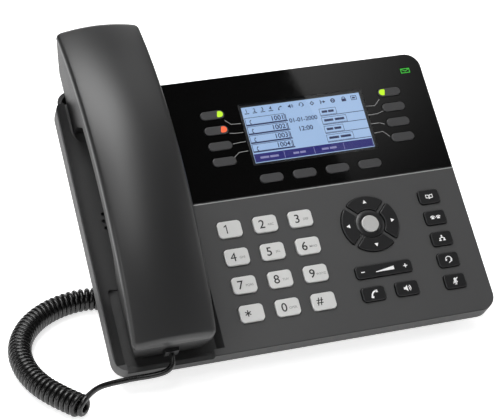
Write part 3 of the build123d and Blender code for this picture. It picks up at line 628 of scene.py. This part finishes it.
# A closed outline whose corners are arcs tangent to both neighbours
def roundedOutline(corners):
    out = []
    for i, (v, n, r) in enumerate(corners):
        p = np.array([v, n])
        if r == 0:
            out.append(p)
            continue
        a = np.array(corners[i - 1][:2]) - p
        b = np.array(corners[(i + 1) % len(corners)][:2]) - p
        la, lb = np.linalg.norm(a), np.linalg.norm(b)
        a, b = a / la, b / lb
        half = math.acos(np.clip(a @ b, -1, 1)) / 2
        # The arc starts r / tan(half angle) from the corner, and before the middle of a side
        reach = min(r / math.tan(half), 0.48 * la, 0.48 * lb)
        # Quadratic blend between the two tangent points, which is close to the arc
        for s in np.linspace(0, 1, 7):
            out.append(p + a * reach * (1 - s) ** 2 + b * reach * s**2)
    return np.array(out)


# Outward normals of a closed outline: its direction turned a quarter, by its area's sign
def outlineNormals(outline):
    ahead = np.roll(outline, -1, axis=0) - np.roll(outline, 1, axis=0)
    normal = np.stack([ahead[:, 1], -ahead[:, 0]], -1)
    normal /= np.linalg.norm(normal, axis=1, keepdims=True)
    x, y = outline.T
    area = (x * np.roll(y, -1) - np.roll(x, -1) * y).sum()
    return -normal if area < 0 else normal


# The outline lofted across the width, with the last millimetre pulled in as a quarter circle
def buildUnderShell():
    k = underSides
    outline = roundedOutline(profileCorners(underProfile))
    turn = np.linspace(0, math.pi / 2, 6)
    near = 1 - k["edge"] / k["halfWidth"] * (1 - np.sin(turn))
    across = np.concatenate([-near[::-1], np.linspace(-near[0], near[0], 9)[1:-1], near])
    rounding = k["edge"] * (1 - np.cos(turn))
    pull = np.concatenate([rounding[::-1], np.zeros(7), rounding])
    lines = outline[None] - outlineNormals(outline)[None] * pull[:, None, None]
    v, n = lines[..., 0], lines[..., 1]
    depth = np.clip((k["leanFrom"] - n) / k["leanDepth"], 0, 1)
    mouth = np.clip((k["mouthFrom"] - v) / k["mouthRun"], 0, 1)
    lean = k["lean"] + k["mouthLean"] * mouth * mouth * (3 - 2 * mouth)
    half = halfWidth(v) - k["inset"] - depth * lean
    points = faceToRow(np.stack([handset["middleU"] + across[:, None] * half, v, n], -1))
    rows, columns = half.shape
    last = (rows - 1) * columns
    cap = tessellate_polygon([[Vector((*p, 0)) for p in lines[0]]])
    faces = gridFaces(rows, columns)
    faces += [list(f) for f in cap] + [[last + i for i in f] for f in cap]
    # The under shell's darker colour is painted shade
    obj = makePiece("handsetUnderShell", points, faces, handsetUnderShadedAbs, "handset", 35)
    fixNormals(obj)
    # The flat caps keep hard rims, so their long triangles shade evenly
    ends = np.zeros(len(obj.data.edges) * 2, int)
    obj.data.edges.foreach_get("vertices", ends)
    ends = ends.reshape(-1, 2)
    onRim = (ends < columns).all(1) | (ends >= last).all(1)
    sharp = np.array([e.use_edge_sharp for e in obj.data.edges])
    obj.data.edges.foreach_set("use_edge_sharp", onRim | sharp)
    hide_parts("handset_inner_shell")


buildTopShell()
buildUnderShell()
print("handset made")


# Flat shapes in millimetres are an array of points and a list of faces: here, filled loops,
# the inner ones as holes
def filled(*loops):
    flat = np.vstack([np.asarray(loop, float) for loop in loops])
    fill = tessellate_polygon([[Vector((x, y, 0)) for x, y in loop] for loop in loops])
    return flat, [list(corners) for corners in fill]


# Points on a circle or an arc, from start to end in degrees; a full circle isn't closed twice
def circle(x, y, radius, count=24, start=0.0, end=360.0):
    turn = np.radians(np.linspace(start, end, count, endpoint=end - start < 359.9))
    return np.stack([x + radius * np.cos(turn), y + radius * np.sin(turn)], -1)


# A circle with a round hole
def ring(x, y, outer, inner, count=32):
    return filled(circle(x, y, outer, count), circle(x, y, inner, count)[::-1])


# A rectangle between two opposite corners
def bar(x0, y0, x1, y1):
    return filled([(x0, y0), (x1, y0), (x1, y1), (x0, y1)])


# A line of even width: its points pushed half the width to both sides, square to the mean
# direction at each point
def stroke(points, width):
    p = np.asarray(points, float)
    step = np.diff(p, axis=0)
    step /= np.linalg.norm(step, axis=1, keepdims=True)
    mean = np.vstack([step[:1], step[:-1] + step[1:], step[-1:]])
    mean /= np.linalg.norm(mean, axis=1, keepdims=True)
    square = np.stack([-mean[:, 1], mean[:, 0]], -1)
    lean = np.concatenate([[1], (mean[1:-1] * step[1:]).sum(1), [1]])
    offset = square * (width / 2 / np.clip(lean, 0.5, 1))[:, None]
    return filled(np.vstack([p + offset, (p - offset)[::-1]]))


# A stroke along an arc
def arcStroke(x, y, radius, start, end, width):
    return stroke(circle(x, y, radius, 16, start, end), width)


# A rectangle with a rim of even width
def frameBox(x0, y0, x1, y1, width):
    outer = [(x0, y0), (x1, y0), (x1, y1), (x0, y1)]
    u0, w0, u1, w1 = x0 + width, y0 + width, x1 - width, y1 - width
    return filled(outer, [(u0, w0), (u0, w1), (u1, w1), (u1, w0)])


# Letters or figures of a given height, centred on x unless they start or end there
def lettering(text, x, y, height, align="CENTER", tall="0", weight=0.008):
    curve = bpy.data.curves.new("lettering", "FONT")
    curve.resolution_u = 4
    curve.offset = weight
    sheets = []
    for body in (tall, text):
        curve.body = body
        holder = bpy.data.objects.new("lettering", curve)
        mesh = bpy.data.meshes.new_from_object(holder)
        flat = np.zeros(len(mesh.vertices) * 3)
        mesh.vertices.foreach_get("co", flat)
        sheets.append((flat.reshape(-1, 3)[:, :2], [list(p.vertices) for p in mesh.polygons]))
        bpy.data.meshes.remove(mesh)
        bpy.data.objects.remove(holder)
    bpy.data.curves.remove(curve)
    scale = height / np.ptp(sheets[0][0][:, 1])
    flat = sheets[1][0] * scale
    low, high = flat.min(0), flat.max(0)
    shift = {"CENTER": (low[0] + high[0]) / 2, "LEFT": low[0], "RIGHT": high[0]}[align]
    return flat - [shift, (low[1] + high[1]) / 2] + [x, y], sheets[1][1]


# Several flat shapes moved and turned together
def placed(shapes, x, y, turn=0.0, scale=1.0):
    c, s = math.cos(math.radians(turn)) * scale, math.sin(math.radians(turn)) * scale
    return [(flat @ np.array([[c, s], [-s, c]]) + [x, y], faces) for flat, faces in shapes]


# Height of a CAD node's surface above the face, found by a ray along the face's normal
def surfaceHeight(nodeName):
    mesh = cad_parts[nodeName].data
    tree = BVHTree.FromPolygons([v.co for v in mesh.vertices], [p.vertices for p in mesh.polygons])
    down = Vector((0, math.sin(face["tilt"]), -math.cos(face["tilt"])))

    # 20 mm less the ray's length, or the fallback where the ray misses
    def height(flat, fallback):
        starts = faceToRow(np.column_stack([flat, np.full(len(flat), 20.0)]))
        hits = [tree.ray_cast(Vector(start), down)[3] for start in starts]
        return np.array([20 - hit * 1000 if hit is not None else fallback for hit in hits])

    return height


# Flat shapes given a thickness and laid on a surface: the top stands proud of it, the bottom is
# just below it, and walls join them along every edge that belongs to one face
def inkPiece(name, shapes, material, body, level=0.0, proud=0.03, sunk=0.03, onNode=None):
    height = surfaceHeight(onNode) if onNode else None
    points, faces, start = [], [], 0
    for flat, shapeFaces in shapes:
        rest = height(flat, level) if height else np.full(len(flat), level)
        count = len(flat)
        points.append(np.column_stack([flat, rest + proud]))
        points.append(np.column_stack([flat, rest - sunk]))
        top = []
        for corners in shapeFaces:
            x, y = flat[corners, 0], flat[corners, 1]
            turned = (x * np.roll(y, -1) - np.roll(x, -1) * y).sum() < 0
            top.append(corners[::-1] if turned else list(corners))
        edges = {(a, b) for f in top for a, b in zip(f, f[1:] + f[:1])}
        faces += [[start + i for i in f] for f in top]
        faces += [[start + count + i for i in f[::-1]] for f in top]
        faces += [
            [start + b, start + a, start + count + a, start + count + b]
            for a, b in sorted(edges)
            if (b, a) not in edges
        ]
        start += 2 * count
    return makePiece(name, faceToRow(np.vstack(points)), faces, material, body, 30)


# Ink that lies on a key's top and rides on the key
def keyInk(name, shapes, material, nodeName, level=1.2):
    inkPiece(name, shapes, material, nodeName, onNode=nodeName, level=level)

# Key centres and legends, in millimetres on the face
keys = {
    "dialLeft": -30.4,
    "dialBottom": 20.7,
    "dialPitchU": 21.02,
    "dialPitchV": 17.0,
    "digitHeight": 5.2,
    "letterHeight": 1.35,
    "digitShift": -2.2,
    "letterShift": 2.9,
    "letterDrop": 0.7,
    "lineLeft": -23.0,
    "lineRight": 86.86,
    "lineTop": 143.45,
    "linePitch": 10.0,
    "navU": 51.5,
    "navV": 62.2,
    "navMarkRadius": 13.4,
    "sideU": 91.06,
    "sideTop": 73.1,
    "sidePitch": 13.38,
    "send": (41.3, 20.3),
    "speaker": (62.0, 20.0),
    "volume": (51.5, 33.5),
}
dialRows = [
    ("1", "", "2", "ABC", "3", "DEF"),
    ("4", "GHI", "5", "JKL", "6", "MNO"),
    ("7", "PQRS", "8", "TUV", "9", "WXYZ"),
    ("*", "", "0", "OPER", "#", ""),
]


# A dial key's mark: a star of three strokes, a flagged stroke for 1, or a printed figure
def dialMark(digit, u, v):
    if digit == "*":
        tips = circle(0, 0, 1.9, 3, 30, 150)[[1, 0, 2]]
        return placed([stroke([-tip, tip], 0.6) for tip in tips], u, v)
    if digit == "1":
        return placed([stroke([(-1.0, 1.5), (0.35, 2.45), (0.35, -2.6)], 0.62)], u, v)
    if digit == "#":
        return [lettering("#", u, v, 4.6, tall="#")]
    # A 4 in a heavier weight would close its counter
    weight = 0.0 if digit == "4" else 0.008
    return [lettering(digit, u, v, keys["digitHeight"], weight=weight)]


# Each dial key has its figure left of the middle and its letters right of it
def buildDialLegends():
    for rowIndex, row in enumerate(dialRows):
        v = keys["dialBottom"] + (3 - rowIndex) * keys["dialPitchV"]
        for column in range(3):
            digit, letters = row[2 * column : 2 * column + 2]
            u = keys["dialLeft"] + column * keys["dialPitchU"]
            label = {"*": "star", "#": "hash"}.get(digit, digit)
            mark = dialMark(digit, u + keys["digitShift"], v)
            keyInk("digit_" + label, mark, blackInk, "dial_key_" + label)
            if letters:
                x, y = u + keys["letterShift"], v - keys["letterDrop"]
                small = lettering(letters, x, y, keys["letterHeight"], tall="H")
                keyInk("letters_" + label, [small], greyInk, "dial_key_" + label)


# Key pictures in millimetres round their own middle: a handset is an arc with two thick ends
def handsetIcon(size):
    shapes = [
        arcStroke(2.1, -2.0, 3.3, 88, 188, 0.95),
        stroke([(2.05, 2.0), (2.45, 0.3)], 1.35),
        stroke([(-2.0, -2.3), (-0.3, -2.75)], 1.35),
    ]
    return placed(shapes, 0, 0, 0, size)


# A horn with two waves
def speakerIcon():
    cone = filled([(-2.4, -0.7), (-1.4, -0.7), (-0.1, -1.9), (-0.1, 1.9), (-1.4, 0.7), (-2.4, 0.7)])
    return [cone, arcStroke(-0.3, 0, 1.25, -48, 48, 0.42), arcStroke(-0.3, 0, 2.1, -48, 48, 0.42)]


# Two hollow pages that mirror each other, and a spine
def bookIcon():
    page = [(0.1, -1.25), (2.2, -0.95), (2.2, 1.25), (0.1, 0.95)]
    inner = [(0.45, -0.8), (0.45, 0.65), (1.85, 0.85), (1.85, -0.6)]
    other = [(-x, y) for x, y in page][::-1]
    otherInner = [(-x, y) for x, y in inner][::-1]
    return [filled(page, inner), filled(other, otherInner), bar(-0.25, -1.6, 0.25, -0.9)]


# A desk telephone: a sloping body under an arched handset
def deskPhoneIcon(x):
    body = filled([(-0.95, -1.0), (0.95, -1.0), (0.65, 0.25), (-0.65, 0.25)])
    rest = arcStroke(0, -0.9, 1.75, 48, 132, 0.5)
    ends = [bar(-1.35, 0.0, -0.85, 0.65), bar(0.85, 0.0, 1.35, 0.65)]
    return placed([body, rest, *ends], x, 0)


# A head over half a disc
def figureIcon(x, y):
    head, shoulders = circle(0, 0.62, 0.5, 16), circle(0, -0.75, 0.85, 14, 0, 180)
    return placed([filled(head), filled(shoulders)], x, y)


# A headband with two pads and a boom
def headsetIcon():
    return [
        arcStroke(0, 0.1, 1.75, -62, 205, 0.5),
        stroke([(-1.75, -0.7), (-1.3, 0.5)], 1.0),
        stroke([(1.3, -1.3), (1.75, 0.3)], 1.0),
        stroke([(0.8, -1.5), (-0.2, -1.95)], 0.4),
    ]


# A microphone on its stand, struck through
def muteIcon():
    capsule = np.vstack([circle(0, 1.0, 0.8, 12, 0, 180), circle(0, -0.1, 0.8, 12, 180, 360)])
    return [
        filled(capsule),
        arcStroke(0, 0.0, 1.3, 195, 345, 0.35),
        bar(-0.17, -2.1, 0.17, -1.35),
        bar(-0.8, -2.25, 0.8, -1.95),
        stroke([(-1.6, -1.5), (1.7, 1.9)], 0.45),
    ]


# A minus, a plus and between them a wedge that thickens towards the plus
def volumeMarks():
    x = np.linspace(-5.2, 6.0, 13)
    under = np.column_stack([x, np.full(13, -1.1)])
    over = np.column_stack([x, -0.8 + 0.17 * (x + 5.2)])
    minus, plus = bar(-13.9, -0.28, -11.7, 0.28), bar(11.7, -0.28, 14.1, 0.28)
    ends = [bar(12.62, 0.28, 13.18, 1.2), bar(12.62, -1.2, 13.18, -0.28)]
    return [filled(np.vstack([under, over[::-1]])), minus, plus, *ends]


# White marks on the dark keys, each on its own key's top
def buildKeyIcons():
    phones = deskPhoneIcon(-1.75) + deskPhoneIcon(1.75)
    figures = figureIcon(0, 0.9) + figureIcon(-1.25, -0.8) + figureIcon(1.25, -0.8)
    sideIcons = {
        "phonebook_key": bookIcon(),
        "transfer_key": phones + [bar(-0.35, -0.35, 0.35, -0.05)],
        "conference_key": figures,
        "headset_key": headsetIcon(),
        "mute_key": muteIcon(),
    }
    marks = {}
    for index, (nodeName, icon) in enumerate(sideIcons.items()):
        marks[nodeName] = placed(icon, keys["sideU"], keys["sideTop"] - index * keys["sidePitch"])
    marks["send_key"] = placed(handsetIcon(0.9), *keys["send"])
    marks["speaker_key"] = placed(speakerIcon(), *keys["speaker"])
    for nodeName, mark in marks.items():
        keyInk("icon_" + nodeName, mark, whiteInk, nodeName)
    triangle = [filled([(0, 1.25), (-1.15, -0.85), (1.15, -0.85)])]
    for index, side in enumerate(("up", "left", "down", "right")):
        turn = 90 * index
        reach = math.radians(turn + 90)
        u = keys["navU"] + keys["navMarkRadius"] * math.cos(reach)
        v = keys["navV"] + keys["navMarkRadius"] * math.sin(reach)
        mark = placed(triangle, u, v, turn)
        keyInk("mark_nav_key_" + side, mark, whiteInk, "nav_key_" + side)
    volume = placed(volumeMarks(), *keys["volume"])
    keyInk("marks_volume", volume, whiteInk, "volume_rocker", level=0.6)


buildDialLegends()
buildKeyIcons()
print("legends made")


# Leader lines from the display's edge to the line keys, as face points
leaders = [
    [(-16.3, 139.3), (-13.2, 136.3), (-7.4, 136.0)],
    [(-15.5, 130.8), (-12.5, 130.3), (-7.4, 130.2)],
    [(-15.3, 123.8), (-12.2, 124.1), (-7.5, 124.2)],
    [(-16.4, 115.3), (-13.0, 118.0), (-7.5, 118.2)],
    [(70.1, 136.3), (75.8, 135.8), (79.6, 139.6)],
    [(69.9, 130.3), (75.9, 130.4), (79.9, 131.7)],
    [(70.0, 124.4), (75.2, 124.4), (78.4, 123.1)],
    [(70.4, 118.3), (75.9, 118.6), (79.3, 114.7)],
]
# The painted highlight along the panel's lower edge as two corners, the lamp's middle, and the keys
# that are lit
panel = {
    "edgeHighlight": (-49.3, 89.2, 111.2, 89.75),
    "lamp": (101.1, 156.1),
    "green": ["line_key_left_1", "line_key_right_1"],
    "red": ["line_key_left_2"],
}


# A painted highlight along the panel's lower edge, leader lines, the lamp's envelope, and the lit
# ends of keys, which face the display
def buildPanelMarks():
    # Painted highlight: a silver strip where the lower edge's chamfer catches the light
    inkPiece("panelEdgeHighlight", [bar(*panel["edgeHighlight"])], edgeHighlightPaint, "base", proud=0.05)
    lines = [stroke(line, 0.34) for line in leaders]
    inkPiece("leaderLines", lines, leaderInk, "base")
    flap = stroke([(-2.5, 1.2), (0, -0.35), (2.5, 1.2)], 0.45)
    envelope = placed([frameBox(-2.9, -1.6, 2.9, 1.6, 0.5), flap], *panel["lamp"])
    inkPiece("lampEnvelope", envelope, lampGlow, "base", proud=0.04)
    outline = [*circle(-4.45, 0, 1.95, 14, 90, 270), (-3.4, -1.95), (-2.5, 1.3), (-3.0, 1.95)]
    end = [filled(outline)]
    for nodeName in sorted(panel["green"] + panel["red"]):
        material = greenGlow if nodeName in panel["green"] else redGlow
        left = "left" in nodeName
        u = keys["lineLeft"] if left else keys["lineRight"]
        v = keys["lineTop"] - (int(nodeName[-1]) - 1) * keys["linePitch"]
        shape = placed(end, u, v, 180 if left else 0)
        inkPiece("lit_" + nodeName, shape, material, nodeName, level=0.8)


# The picture on the display, in millimetres right of and below the window's top left corner
display = {
    "left": -4.77,
    "top": 146.27,
    "width": 73.4,
    "height": 36.2,
    "level": -1.47,
    "layer": 0.02,
    "boxTop": 6.9,
    "entryTop": 7.0,
    "rowPitch": 5.75,
    "entryLeft": 47.6,
    "entries": (7.5, 12.5, 9.0, 13.5),
    "softWords": ((9.2, 11.0), (27.5, 7.5), (45.8, 9.0)),
}


# Shapes turned upside down
def flipped(shapes):
    return [(flat * [1, -1], faces) for flat, faces in shapes]


# One layer of the picture, a little above the one before it; y runs down from the corner
def screenLayer(name, shapes, material, layer):
    onFace = placed(flipped(shapes), display["left"], display["top"])
    level = display["level"] + display["layer"] * layer
    inkPiece(name, onFace, material, "base", level=level, proud=0.01, sunk=0.0)


# Upright letters in the picture's own frame
def screenText(text, x, y, height, align="CENTER"):
    return flipped([lettering(text, x, -y, height, align, weight=0.016)])[0]


# Status row: line figures over bars, then small signs
def statusRow():
    marks = []
    for index in range(4):
        x = 2.8 + 4.9 * index
        marks += [screenText(str(index + 1), x, 2.5, 2.3), bar(x - 1.4, 4.0, x + 1.4, 4.5)]
    marks += placed(flipped(handsetIcon(0.5)), 23.0, 3.0)
    marks += placed(flipped(speakerIcon()), 30.0, 3.0, 0, 0.72)
    marks += placed(flipped(headsetIcon()), 36.5, 3.0, 0, 0.72)
    diamond = [(43.2, 1.5), (44.6, 3.0), (43.2, 4.5), (41.8, 3.0)]
    hole = [(43.2, 2.3), (42.5, 3.0), (43.2, 3.7), (43.9, 3.0)]
    arrow = [(50.2, 2.0), (51.6, 3.0), (50.2, 4.0)]
    shackle = [(62.3, 2.7), (62.3, 1.9), (63.1, 1.5), (63.9, 1.9), (63.9, 2.7)]
    return [
        *marks,
        filled(diamond, hole),
        stroke([(48.6, 1.6), (48.6, 4.4)], 0.5),
        stroke([(48.6, 3.0), (51.0, 3.0)], 0.5),
        filled(arrow),
        ring(56.2, 3.0, 1.45, 0.75),
        bar(55.5, 2.75, 56.9, 3.25),
        bar(61.7, 2.7, 64.5, 4.5),
        stroke(shackle, 0.4),
        frameBox(67.6, 1.5, 71.2, 4.4, 0.35),
        bar(68.5, 2.4, 70.3, 3.5),
    ]


# Line boxes at the left, each with a shadow, a number and a small handset
def lineBoxes():
    marks = []
    for index in range(4):
        y = display["boxTop"] + display["rowPitch"] * index
        marks += [frameBox(0.5, y, 24.6, y + 4.7, 0.3)]
        marks += [bar(0.5, y + 4.7, 26.0, y + 5.35), bar(24.9, y + 0.6, 25.4, y + 4.7)]
        marks += [screenText(str(1001 + index), 23.6, y + 2.35, 3.1, "RIGHT")]
        marks += placed(flipped(handsetIcon(0.42)), 3.4, y + 2.9, -38)
    return marks


# Rows at the right run to the window's edge, with plain bars in place of words
def entryRows():
    marks = []
    x = display["entryLeft"]
    for index, length in enumerate(display["entries"]):
        y = display["entryTop"] + display["rowPitch"] * index
        marks += [frameBox(46.2, y + 0.3, x + length + 1.6, y + 4.7, 0.25)]
        marks += [bar(46.2, y + 4.9, display["width"] - 0.2, y + 5.3)]
        marks += [bar(x, y + 1.7, x + 0.45 * length, y + 3.2)]
        marks += [bar(x + 0.53 * length, y + 1.7, x + length, y + 3.2)]
    return marks


# Bottom bar's marks: three dividing lines, and plain bars in place of words
def softWords():
    marks = [bar(x - 0.15, 31.0, x + 0.15, 35.2) for x in (18.4, 36.7, 55.0)]
    for x, length in display["softWords"]:
        marks += [bar(x - length / 2, 32.4, x - 0.3, 33.7), bar(x + 0.4, 32.4, x + length / 2, 33.7)]
    return marks


# Four layers: the light, dark marks, the bottom bar, and pale marks on that bar
def buildDisplayPicture():
    w, h = display["width"], display["height"]
    screenLayer("screenLight", [bar(0.05, 0.05, w - 0.05, h - 0.05)], lcdLight, 0)
    clock = [screenText("01-01-2000", 35.4, 12.2, 2.75), screenText("12:00", 35.6, 18.2, 3.0)]
    screenLayer("screenMarks", statusRow() + lineBoxes() + clock + entryRows(), lcdMark, 1)
    screenLayer("screenBar", [bar(0.3, 30.4, w - 0.3, 35.7)], lcdBar, 1)
    screenLayer("screenBarMarks", softWords(), lcdPale, 2)


# Collar between the round button and the ring of keys, as (radius, height) above the face
collar = {
    "profile": [(5.5, -1.0), (5.5, 0.35), (5.8, 0.65), (8.3, 0.65), (8.6, 0.4), (8.65, -1.0)],
    "around": 64,
}


# Its profile turned round the navigation centre
def buildNavCollar():
    radius, height = np.array(collar["profile"]).T[..., None]
    turn = np.linspace(0, 2 * math.pi, collar["around"], endpoint=False)
    u = keys["navU"] + radius * np.cos(turn)
    v = keys["navV"] + radius * np.sin(turn)
    rows, columns = u.shape
    faces = gridFaces(rows, columns)
    last = (rows - 1) * columns
    faces += [[last + i, last + (i + 1) % columns, (i + 1) % columns, i] for i in range(columns)]
    points = faceToRow(np.stack([u, v, np.broadcast_to(height, u.shape)], -1))
    obj = makePiece("navCollar", points, faces, darkKeyAbs, "base", 40)
    fixNormals(obj)


buildPanelMarks()
buildDisplayPicture()
buildNavCollar()
print("panel and display made")

stageKit = {
    "floorSize": 80.0,
    "floorGlow": 0.74,
    # Sine of the height above the horizon between which the sky fades, and its two strengths
    "skyFade": (0.3, 0.8),
    "skyLow": 0.25,
    "skyHigh": 0.03,
    # name, eye, target, width, height, watts
    "softboxes": [
        ("overhead", (-0.32, 0.25, 1.6), (-0.1, 0.02, 0.05), 0.7, 1.0, 17.0),
        ("overheadFront", (-0.36, -0.6, 1.5), (-0.1, 0.0, 0.05), 0.5, 0.8, 4.5),
        ("overheadRight", (0.85, 0.6, 1.6), (-0.05, 0.05, 0.05), 0.8, 0.7, 2.4),
        ("frontLeft", (-1.7, -0.9, 0.9), (0.0, 0.0, 0.05), 1.0, 0.8, 7.0),
        ("rightFill", (1.6, -0.3, 0.8), (0.0, 0.0, 0.05), 0.9, 0.7, 4.0),
        ("back", (0.3, 1.8, 0.9), (0.0, 0.0, 0.0), 1.4, 0.7, 8.0),
    ],
    # Corners of a pale card hung over the right front, whose left edge draws a slanting line
    # across the glossy panel, and the x and y ranges over which its light fades to cardLeast
    "card": [(0.480, -0.172, 1.6), (0.680, -0.584, 1.6), (1.15, -0.584, 1.6), (0.95, -0.172, 1.6)],
    "cardGlow": 1.15,
    "cardLeast": 0.12,
    "cardFadeX": (0.52, 0.82),
    "cardFadeY": (-0.5, -0.24),
}
quadFace = [[0, 1, 2, 3]]


# A card that shines most at its left back corner and fades towards the right and the front
def cardMaterial():
    material, tree, shader, place = newMaterial("paperCard")
    parts = addNode(tree, "ShaderNodeSeparateXYZ", inputs={0: place})
    least = stageKit["cardLeast"]
    rightwards = mapRange(tree, parts.outputs["X"], *stageKit["cardFadeX"], 1.0, least, True)
    forwards = mapRange(tree, parts.outputs["Y"], *stageKit["cardFadeY"], least, 1.0, True)
    both = mathNode(tree, "MULTIPLY", rightwards, forwards)
    strength = mathNode(tree, "MULTIPLY", both, stageKit["cardGlow"])
    tree.links.new(strength, shader.inputs["Emission Strength"])
    shader.inputs["Emission Color"].default_value = (1, 1, 1, 1)
    shader.inputs["Base Color"].default_value = (0, 0, 0, 1)
    return material


# A pale floor that shines a little, and the card
def buildFloorAndCard():
    half = stageKit["floorSize"] / 2
    points = [(-half, -half, 0), (half, -half, 0), (half, half, 0), (-half, half, 0)]
    floorPaint = finishMaterial("floorPaint", "#fbfbfb", "#f6f6f6", (0.8, 0.9), 20.0, 0.0)
    shader = floorPaint.node_tree.nodes["Principled BSDF"]
    shader.inputs["Emission Color"].default_value = (1, 1, 1, 1)
    shader.inputs["Emission Strength"].default_value = stageKit["floorGlow"]
    floor = makePiece("floor", points, quadFace, floorPaint, None)
    card = makePiece("card", stageKit["card"], quadFace, cardMaterial(), None)
    card.visible_camera = False
    card.visible_shadow = False


# Sky: bright near the horizon, nearly dark overhead, so that glossy parts stay deep
def buildSky():
    world = bpy.data.worlds.new("studio")
    bpy.context.scene.world = world
    world.use_nodes = True
    tree = world.node_tree
    background = tree.nodes["Background"]
    place = addNode(tree, "ShaderNodeTexCoord").outputs["Generated"]
    parts = addNode(tree, "ShaderNodeSeparateXYZ", inputs={0: place})
    low, high = stageKit["skyLow"], stageKit["skyHigh"]
    sky = mapRange(tree, parts.outputs["Z"], *stageKit["skyFade"], low, high, True)
    background.inputs["Color"].default_value = (1, 1, 1, 1)
    tree.links.new(sky, background.inputs["Strength"])


# Rectangular lamps, each aimed at its target
def buildSoftboxes():
    for name, eye, target, width, height, power in stageKit["softboxes"]:
        data = bpy.data.lights.new(name, "AREA")
        data.shape = "RECTANGLE"
        data.size, data.size_y, data.energy = width, height, power
        lamp = bpy.data.objects.new(name, data)
        bpy.context.scene.collection.objects.link(lamp)
        aimAt(lamp, eye, target)


buildFloorAndCard()
buildSky()
buildSoftboxes()
bpy.context.scene.view_settings.view_transform = "Standard"
print("stage made")
